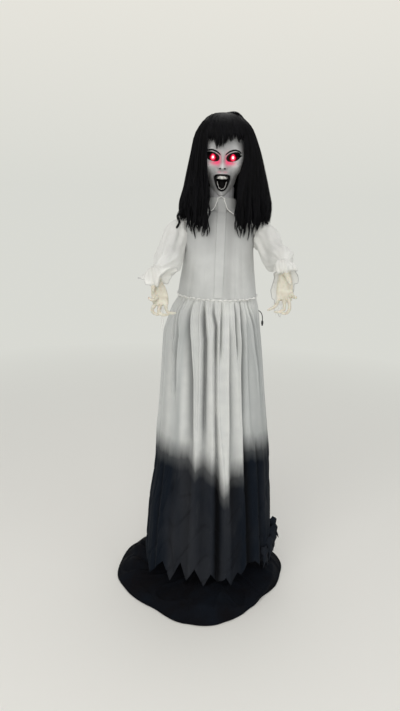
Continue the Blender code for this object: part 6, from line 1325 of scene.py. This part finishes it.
def head_surface(azimuth, elevation):
    """The head's own form: an egg with a narrower jaw and the face's broad shapes."""
    drop = ramp(-elevation, 0.15, 1.0)
    width = HEAD_WIDTH * (1 - 0.28 * drop)
    rise = np.where(elevation > 0, 0.104, 0.121)
    across = np.cos(elevation) * np.sin(azimuth)
    forward = np.cos(elevation) * np.cos(azimuth)
    up = np.sin(elevation)
    radius = 1 / np.sqrt((across / width) ** 2 + (forward / HEAD_DEPTH) ** 2 + (up / rise) ** 2)
    side = np.abs(radius * across) / HEAD_WIDTH
    height = radius * up / HEAD_WIDTH
    for place, level, spread, tall, amount in FACE:
        near = spot(side, height, place, level, spread, tall)
        radius = radius + HEAD_WIDTH * amount * near * ramp(forward, 0.1, 0.5)
    return np.stack([radius * across, -radius * forward, HEAD_CENTRE + radius * up], axis=-1)


def eye_gap(x, z):
    """How far outside the almond eye opening a point is: 1 on its edge."""
    across = (np.abs(x) - EYE_X) / EYE_WIDTH
    tall = (z - EYE_Z - 0.0022 * across) / EYE_HEIGHT
    return np.sqrt(np.abs(across) ** 2 + np.abs(tall) ** 2 * (1 + 0.6 * np.clip(np.abs(across), 0, 1) ** 2))


def mouth_gap(x, z):
    """How far outside the open mouth a point is: 1 on its edge; broad and flat above, narrow below."""
    tall = (z - MOUTH_Z) / MOUTH_HEIGHT
    width = MOUTH_WIDTH * (0.9 + 0.24 * np.clip(tall, -1.25, 1.0))
    power = 2.7 + 1.5 * ramp(tall, -0.3, 0.7)
    return (np.abs(x / width) ** power + np.abs(tall) ** power) ** (1 / power)


def build_face():
    """The mask: brow, sockets with lids, nose with nostrils, cheeks, black lips round an open mouth, chin."""
    azimuth = np.radians(np.concatenate([np.linspace(-92, -48, 40, endpoint=False), np.linspace(-48, 48, 300),
                                         np.linspace(48, 92, 41)[1:]]))
    elevation = np.radians(np.concatenate([np.linspace(62, 16, 36, endpoint=False), np.linspace(16, -52, 300),
                                           np.linspace(-52, -72, 18)[1:]]))
    up, across = np.meshgrid(elevation, azimuth, indexing="ij")
    rows = head_surface(across, up)
    x, z = rows[..., 0], rows[..., 2]
    eye, mouth = eye_gap(x, z), mouth_gap(x, z)
    out = np.zeros_like(x)
    out += 0.0014 * np.exp(-((eye - 1.22) / 0.17) ** 2)
    out -= 0.0012 * np.exp(-((eye - 1.75) / 0.25) ** 2) * (z > EYE_Z)
    out += 0.0022 * np.exp(-((mouth - 1.16) / 0.13) ** 2)
    out -= 0.0008 * np.exp(-((mouth - 1.48) / 0.12) ** 2)
    for place_x, place_z, wide, tall, amount in (
            (0.0, 1.3625, 0.0062, 0.0055, 0.0028), (0.0078, 1.362, 0.004, 0.0044, 0.0024),
            (0.0055, 1.3585, 0.0024, 0.0016, -0.003), (0.0, 1.376, 0.004, 0.012, 0.0016),
            (0.03, 1.4085, 0.015, 0.004, 0.0022), (0.0, 1.352, 0.0028, 0.004, -0.0008),
            (0.027, 1.34, 0.005, 0.016, -0.0012), (0.0, 1.288, 0.014, 0.005, 0.0012),
            (0.043, 1.368, 0.012, 0.008, 0.0018)):
        out += amount * spot(np.abs(x), z, place_x, place_z, wide, tall)
    out += 0.00035 * waves(81, x * 160, z * 160, 9, 0.7, 2.0)
    away = rows - np.array((0.0, 0.01, HEAD_CENTRE - 0.02))
    away /= np.linalg.norm(away, axis=-1, keepdims=True)
    rows = rows + away * out[..., None]
    front = rows[..., 1] < -0.02
    drop = ((eye < 1) | (mouth < 1)) & front
    for gap, centre_x, centre_z in ((eye, EYE_X, EYE_Z), (mouth, 0.0, MOUTH_Z)):
        border = (gap < 1) & (gap > 0.8) & front
        middle = (np.sign(x) if centre_x else 0.0) * centre_x
        scale = 1 / np.maximum(gap, 0.3)
        rows[..., 0] = np.where(border, middle + (rows[..., 0] - middle) * scale, rows[..., 0])
        rows[..., 2] = np.where(border, centre_z + (rows[..., 2] - centre_z) * scale, rows[..., 2])
    outward = np.abs(x) - EYE_X
    arch = read_table(BROW, outward)
    brow = np.exp(-((z - EYE_Z - arch) / 0.0027) ** 2) * ramp(outward, -0.0235, -0.019) * (
        1 - ramp(outward, 0.0215, 0.026))
    tilted = z - EYE_Z - 0.002 - 0.24 * outward
    socket = (np.abs((outward - 0.0015) / 0.02) ** 2.2 + np.abs(tilted / 0.012) ** 2.2) ** 0.4545
    socket = 1 - ramp(socket, 0.88, 1.16)
    corner = np.exp(-(np.abs(z - EYE_Z - 0.005 - 0.3 * (outward - 0.018)) / 0.003) ** 2) * ramp(
        outward, 0.012, 0.016) * (1 - ramp(outward, 0.0235, 0.0275))
    lips = 1 - ramp(mouth, 1.24, 1.34)
    # The nostrils are shallow dents filled with painted shade
    nostril_shade = 1.6 * spot(np.abs(x), z, 0.0064, 1.36, 0.0029, 0.0022)
    dark = np.maximum.reduce([brow, socket, corner, lips * (rows[..., 1] < -0.04), nostril_shade]) * front
    nose_side = spot(np.abs(x), z, 0.0125, 1.385, 0.007, 0.014)
    under_eye = 0.8 * spot(outward, z - EYE_Z, -0.005, -0.015, 0.013, 0.0062)
    lip_side = 0.3 * spot(np.abs(x), z, 0.008, 1.351, 0.006, 0.003)
    # Painted light: cheeks lighter towards the sides of the face, less so under the fringe, with painted highlights
    # on the nose tip and the chin
    painted_light = 0.85 * ramp(np.abs(x), 0.018, 0.044) * (1 - 0.5 * ramp(z, 1.4, 1.43))
    painted_light = np.maximum(painted_light, 0.55 * spot(x, z, 0.0, 1.366, 0.01, 0.009))
    painted_light = np.maximum(painted_light, 0.3 * spot(x, z, 0.0, 1.292, 0.02, 0.012))
    face = sheet_piece("face_mask", rows, SKIN, around=False, outward=(0, 0, HEAD_CENTRE))
    for name, values in (("dark", dark), ("glow", 0.95 * nose_side + under_eye + lip_side),
                         ("painted_light", painted_light * front)):
        attribute(face, name, np.clip(values, 0, 1))
    cut_faces(face, drop)
    thicken(face, MASK_THICKNESS)
    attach(face, "head")
    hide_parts("face_shell")


def cut_faces(made, drop):
    """Deletes the faces whose points all lie in a cut-out, and the points that are left over."""
    flags = np.asarray(drop).reshape(-1)
    form = bmesh.new()
    form.from_mesh(made.data)
    form.verts.ensure_lookup_table()
    gone = [face for face in form.faces if all(flags[vert.index] for vert in face.verts)]
    bmesh.ops.delete(form, geom=gone, context="FACES")
    form.to_mesh(made.data)
    form.free()
    tidy_mesh(made)


# Teeth: place across, height, length, half width
UPPER_TEETH = [(-0.0156 + 0.0312 * (index + 0.5) / 8, 1.3405, 0.0092, 0.0015) for index in range(8)]
TOOTH_ROWS, TOOTH_SIDES = 8, 14
TEETH_FRONT, GUM_FRONT, TEETH_CURVE = -0.0745, -0.0725, 45.0
LOWER_LINE = ((-0.0128, 1.324), (-0.011, 1.3165), (-0.0085, 1.3095), (-0.0055, 1.306), (0.0, 1.3045),
              (0.0055, 1.306), (0.0085, 1.3095), (0.011, 1.3165), (0.0128, 1.324))


def build_teeth():
    """Small separate teeth on curved gums: a broad row above, a fine row along the lower lip."""
    lower = smooth_line([(x, 0.0, z) for x, z in LOWER_LINE], 15)
    rows_of_teeth = (("upper_teeth", UPPER_TEETH, 1.0),
                     ("lower_teeth", [(place[0], place[2] - 0.0008, 0.0022, 0.0008) for place in lower], -1.0))
    for node, places, sign in rows_of_teeth:
        parts = []
        for x, level, tall, half in places:
            y = TEETH_FRONT + TEETH_CURVE * x * x
            tall = tall * (1 - 12.0 * abs(x)) if sign > 0 else tall
            rows = []
            for part in np.linspace(0, 1, TOOTH_ROWS):
                size = math.sqrt(max(0.0, 1 - part ** 3.2)) * 0.92 + 0.08
                ring = round_angles(TOOTH_SIDES)
                ox, oy = oval(ring, half * size, 0.0013 * size, 2.8)
                height = np.full(TOOTH_SIDES, level - sign * tall * part)
                rows.append(np.stack([x + ox, y + oy, height], axis=-1))
            faces = grid_faces(TOOTH_ROWS, TOOTH_SIDES, True).tolist() + end_faces(TOOTH_ROWS, TOOTH_SIDES)
            parts.append(piece("tooth", rows, faces, TOOTH, outward=(x, y, level - sign * tall / 2)))
        ridge = [(x, GUM_FRONT + TEETH_CURVE * x * x, level + sign * 0.0006) for x, level, _, _ in places]
        parts.append(tube("gum", smooth_line(ridge, 30), 0.0019 if sign > 0 else 0.0009, MOUTH_BLACK, 8))
        teeth = joined("front_" + node, parts)
        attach(teeth, "head")
        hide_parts(node)


# Hair

# Its form: share of its length, height, half width on the figure's left and right, depth in front and behind
HAIR_FORM = ((0.0, 1.5172, 0.004, 0.004, 0.004, 0.004), (0.06, 1.513, 0.034, 0.031, 0.036, 0.04),
             (0.12, 1.501, 0.056, 0.052, 0.064, 0.068), (0.2, 1.478, 0.079, 0.071, 0.089, 0.092),
             (0.28, 1.448, 0.094, 0.086, 0.103, 0.106), (0.38, 1.405, 0.11, 0.094, 0.104, 0.112),
             (0.5, 1.355, 0.125, 0.104, 0.102, 0.114), (0.62, 1.305, 0.139, 0.114, 0.101, 0.113),
             (0.74, 1.255, 0.15, 0.125, 0.1, 0.11), (0.86, 1.205, 0.147, 0.125, 0.099, 0.104),
             (0.94, 1.175, 0.134, 0.12, 0.098, 0.1), (1.0, 1.15, 0.122, 0.114, 0.097, 0.097))
# Lower edge of the fringe: place across, height
FRINGE_EDGE = ((-0.06, 1.44), (-0.0461, 1.434), (-0.0385, 1.436), (-0.0301, 1.428), (-0.0233, 1.4165),
               (-0.0176, 1.412), (-0.011, 1.415), (-0.0051, 1.4165), (0.0041, 1.4205), (0.0122, 1.426),
               (0.0202, 1.4315), (0.0253, 1.438), (0.0335, 1.44), (0.0395, 1.431), (0.055, 1.438))
# The face's edge of the hair: share of its length, distance on the figure's left and right
HAIR_INNER = ((0.0, 0.03, 0.03), (0.2, 0.046, 0.042), (0.28, 0.056, 0.045), (0.4, 0.06, 0.046),
              (0.52, 0.05, 0.042), (0.68, 0.044, 0.036), (0.85, 0.047, 0.035), (1.0, 0.054, 0.036))


FRINGE_RADIUS = 0.094
HAIR_BACKING = 0.002


def hair_place(share, part, side, layer):
    """A point in the hair: part runs from the face's edge to the nape, layer from within to outside."""
    column = 2 if side > 0 else 3
    half = curve(HAIR_FORM, share, column) * layer
    inner = np.minimum(curve(HAIR_INNER, share, 1 if side > 0 else 2), half * 0.8)
    start = np.arcsin(np.clip(inner / np.maximum(half, 1e-6), 0, 0.95))
    angle = start + (math.pi - start) * part
    depth = np.where(angle < math.pi / 2, curve(HAIR_FORM, share, 4), curve(HAIR_FORM, share, 5)) * layer
    return np.stack([side * half * np.sin(angle), -depth * np.cos(angle), curve(HAIR_FORM, share, 1)
                     - 0.006 * (1 - layer)], axis=-1), angle


def strand_mesh(name, paths, widths, material):
    """Many fine three-sided strands in one mesh, from their points and the width at each."""
    count, points = paths.shape[:2]
    tangent = np.gradient(paths, axis=1)
    tangent /= np.linalg.norm(tangent, axis=2, keepdims=True) + 1e-9
    out = paths - np.array((0.0, 0.0, 1.3))
    out[..., 2] *= 0.25
    side = np.cross(tangent, out)
    side /= np.linalg.norm(side, axis=2, keepdims=True) + 1e-9
    over = np.cross(side, tangent)
    half = widths[..., None] / 2
    rings = np.stack([paths + over * half * 0.8, paths - over * half * 0.4 + side * half,
                      paths - over * half * 0.4 - side * half], axis=2)
    base = (np.arange(count) * points * 3)[:, None, None]
    row = (np.arange(points - 1) * 3)[None, :, None]
    column = np.arange(3)[None, None, :]
    after = (column + 1) % 3
    quads = np.stack([base + row + column, base + row + after, base + row + 3 + after, base + row + 3 + column],
                     axis=-1).reshape(-1, 4)
    heads = np.stack([base[:, 0, 0] + 2, base[:, 0, 0] + 1, base[:, 0, 0]], axis=-1)
    tails = heads[:, ::-1] + (points - 1) * 3
    faces = quads.tolist() + heads.tolist() + tails.tolist()
    return piece(name, rings, faces, material)


def over_shoulder(degrees):
    """How much of the hair at an angle lies on the shoulder."""
    return ramp(degrees, 48, 74) * (1 - ramp(degrees, 104, 128))


def side_paths(side, seed, locks, strands, points):
    """Strands of one side's hair, in locks that part from one another towards their ends."""
    pick = np.random.default_rng(seed)
    paths, widths = [], []
    for lock in range(locks):
        part = (lock + pick.uniform(0, 1)) / locks
        part = np.clip(part * 1.02 - 0.01, 0.0, 1.0)
        degrees = 30 + 150 * part
        end = (0.945 - 0.09 * float(over_shoulder(degrees)) + 0.03 * float(ramp(degrees, 104, 128))
               - pick.beta(1.2, 2.6) * 0.12 + 0.02)
        begin = pick.choice((0.004, 0.03, 0.07, 0.12, 0.18), p=(0.3, 0.25, 0.2, 0.15, 0.1))
        layer = pick.uniform(0.9, 1.0)
        wave = pick.uniform(0.002, 0.0075)
        phase, speed = pick.uniform(0, 6.28), pick.uniform(2.2, 4.6)
        curl, curl_phase = pick.uniform(0.001, 0.005), pick.uniform(0, 6.28)
        for _ in range(strands):
            share = np.linspace(begin, end + pick.uniform(-0.03, 0.012), points)
            along = np.linspace(0, 1, points)
            spread = 0.03 * (1 - 0.88 * ramp(along, 0.45, 0.95))
            own = np.clip(part + pick.normal(0, 1) * spread * 0.55, 0, 1)
            depth = np.clip(layer + pick.normal(0, 0.018) * (1 - 0.5 * along), 0.84, 1.012)
            place, angle = hair_place(share, own, side, depth)
            turns = speed * 2 * math.pi * share + phase + pick.normal(0, 0.25)
            sway = wave * ramp(along, 0.35, 1.0) * np.sin(turns)
            sway += curl * ramp(along, 0.62, 0.95) * np.sin(52 * share + curl_phase)
            place[:, 0] += side * np.cos(angle) * sway + pick.normal(0, 0.0006)
            place[:, 1] += np.sin(angle) * sway + pick.normal(0, 0.0006)
            paths.append(place)
            widths.append(0.00125 * (1 - 0.65 * ramp(along, 0.86, 1.0)))
    return np.array(paths), np.array(widths)


def fringe_paths(seed, locks, strands, points):
    """The fringe: strands from the crown over the forehead, in pointed locks of uneven length."""
    pick = np.random.default_rng(seed)
    paths, widths = [], []
    for lock in range(locks):
        angle = math.radians(-40 + 80 * (lock + pick.uniform(0.1, 0.9)) / locks)
        x_front = math.sin(angle) * FRINGE_RADIUS
        low = float(read_table(FRINGE_EDGE, x_front)) + pick.uniform(-0.003, 0.006)
        for _ in range(strands):
            end = np.interp(low + pick.uniform(-0.001, 0.006), (1.405, 1.448, 1.478), (0.38, 0.28, 0.2))
            share = np.linspace(pick.uniform(0.0, 0.1), end, points)
            along = np.linspace(0, 1, points)
            own = angle + pick.normal(0, 1) * 0.045 * (1 - 0.75 * ramp(along, 0.55, 1.0))
            layer = 0.985 + pick.normal(0, 0.008)
            width = np.where(own > 0, curve(HAIR_FORM, share, 2), curve(HAIR_FORM, share, 3)) * layer
            depth = curve(HAIR_FORM, share, 4) * layer
            place = np.stack([width * np.sin(own), -depth * np.cos(own), curve(HAIR_FORM, share, 1)], axis=-1)
            place[:, 1] += 0.004 * ramp(along, 0.75, 1.0)
            paths.append(place)
            widths.append(0.0011 * (1 - 0.78 * ramp(along, 0.78, 1.0)))
    return np.array(paths), np.array(widths)


def stray_paths(seed, line, strands, spread, points):
    """Strands that leave the shape of the hair together, along a line."""
    pick = np.random.default_rng(seed)
    middle = smooth_line(line, points)
    along = np.linspace(0, 1, points)[:, None]
    paths = [middle + pick.normal(0, spread, 3) * (1 - 0.6 * along) + (0, 0, pick.uniform(-0.002, 0.001))
             for _ in range(strands)]
    return np.array(paths), np.full((strands, points), 0.001)


# Locks that leave the outline: a tuft at the crown, then ends over the shoulders
STRAYS = (((0.002, -0.03, 1.508), (0.018, -0.026, 1.5125), (0.032, -0.022, 1.514), (0.046, -0.012, 1.5075),
           (0.06, -0.004, 1.494)),
          ((0.132, -0.01, 1.23), (0.141, -0.016, 1.205), (0.139, -0.02, 1.185), (0.147, -0.02, 1.17)),
          ((0.128, 0.004, 1.242), (0.1385, 0.002, 1.228), (0.1345, 0.0, 1.206)),
          ((-0.112, -0.046, 1.245), (-0.124, -0.052, 1.225), (-0.119, -0.056, 1.207), (-0.127, -0.058, 1.192)))


def build_hair():
    """A scalp, two under-layers that close the gaps, and the strands: fringe, sides and flyaways."""
    share, turn = np.meshgrid(np.linspace(0.002, 0.235, 26), np.linspace(-math.pi, math.pi, 96, endpoint=False),
                              indexing="ij")
    layer = 0.945
    width = np.where(turn > 0, curve(HAIR_FORM, share, 2), curve(HAIR_FORM, share, 3)) * layer
    depth = np.where(np.abs(turn) < math.pi / 2, curve(HAIR_FORM, share, 4), curve(HAIR_FORM, share, 5)) * layer
    rows = np.stack([width * np.sin(turn), -depth * np.cos(turn), curve(HAIR_FORM, share, 1) - 0.004], axis=-1)
    faces = grid_faces(26, 96, True).tolist() + [list(range(96))]
    scalp = piece("wig_scalp", rows, faces, HAIR, outward=(0, 0, 1.4))
    thicken(scalp, HAIR_BACKING)
    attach(scalp, "head")
    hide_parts("wig_cap")
    paths, widths = fringe_paths(5, 46, 16, 12)
    tuft, tuft_widths = stray_paths(3, STRAYS[0], 60, 0.0028, 12)
    fringe = strand_mesh("wig_fringe", np.concatenate([paths, tuft]), np.concatenate([widths, tuft_widths]),
                         HAIR)
    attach(fringe, "head")
    for name, side, seed in (("left", 1.0, 17), ("right", -1.0, 19)):
        share, part = np.meshgrid(np.linspace(0.16, 1.0, 60), np.linspace(0.02, 1.0, 120), indexing="ij")
        limit = (0.86 - 0.08 * over_shoulder(30 + 150 * part)
                 + 0.04 * waves(seed, part * 40, part * 0, 5, 1.0, 3.0))
        share = 0.16 + (share - 0.16) / 0.84 * (limit - 0.16)
        place, _ = hair_place(share, part, side, 0.91 + 0.012 * np.sin(part * 150))
        under = sheet_piece("hair_under_" + name, place, HAIR, around=False, outward=(0, 0, 1.3))
        thicken(under, HAIR_BACKING)
        paths, widths = side_paths(side, seed, 92, 17, 18)
        for index, line in enumerate(STRAYS[1:]):
            if line[0][0] * side > 0:
                extra, extra_widths = stray_paths(seed + index, line, 40, 0.0026, 18)
                paths = np.concatenate([paths, extra])
                widths = np.concatenate([widths, extra_widths])
        strands = strand_mesh("hair_strands_" + name, paths, widths, HAIR)
        for made in (under, strands):
            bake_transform(made)
        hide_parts("hair_" + name)


# Assembly

finish_nodes()
build_studio()
build_lead()
build_cover()
build_skirt()
build_bodice()
build_collar()
for arm_side in ("left", "right"):
    build_hand(arm_side)
    build_sleeve(arm_side)
build_face()
build_teeth()
build_hair()
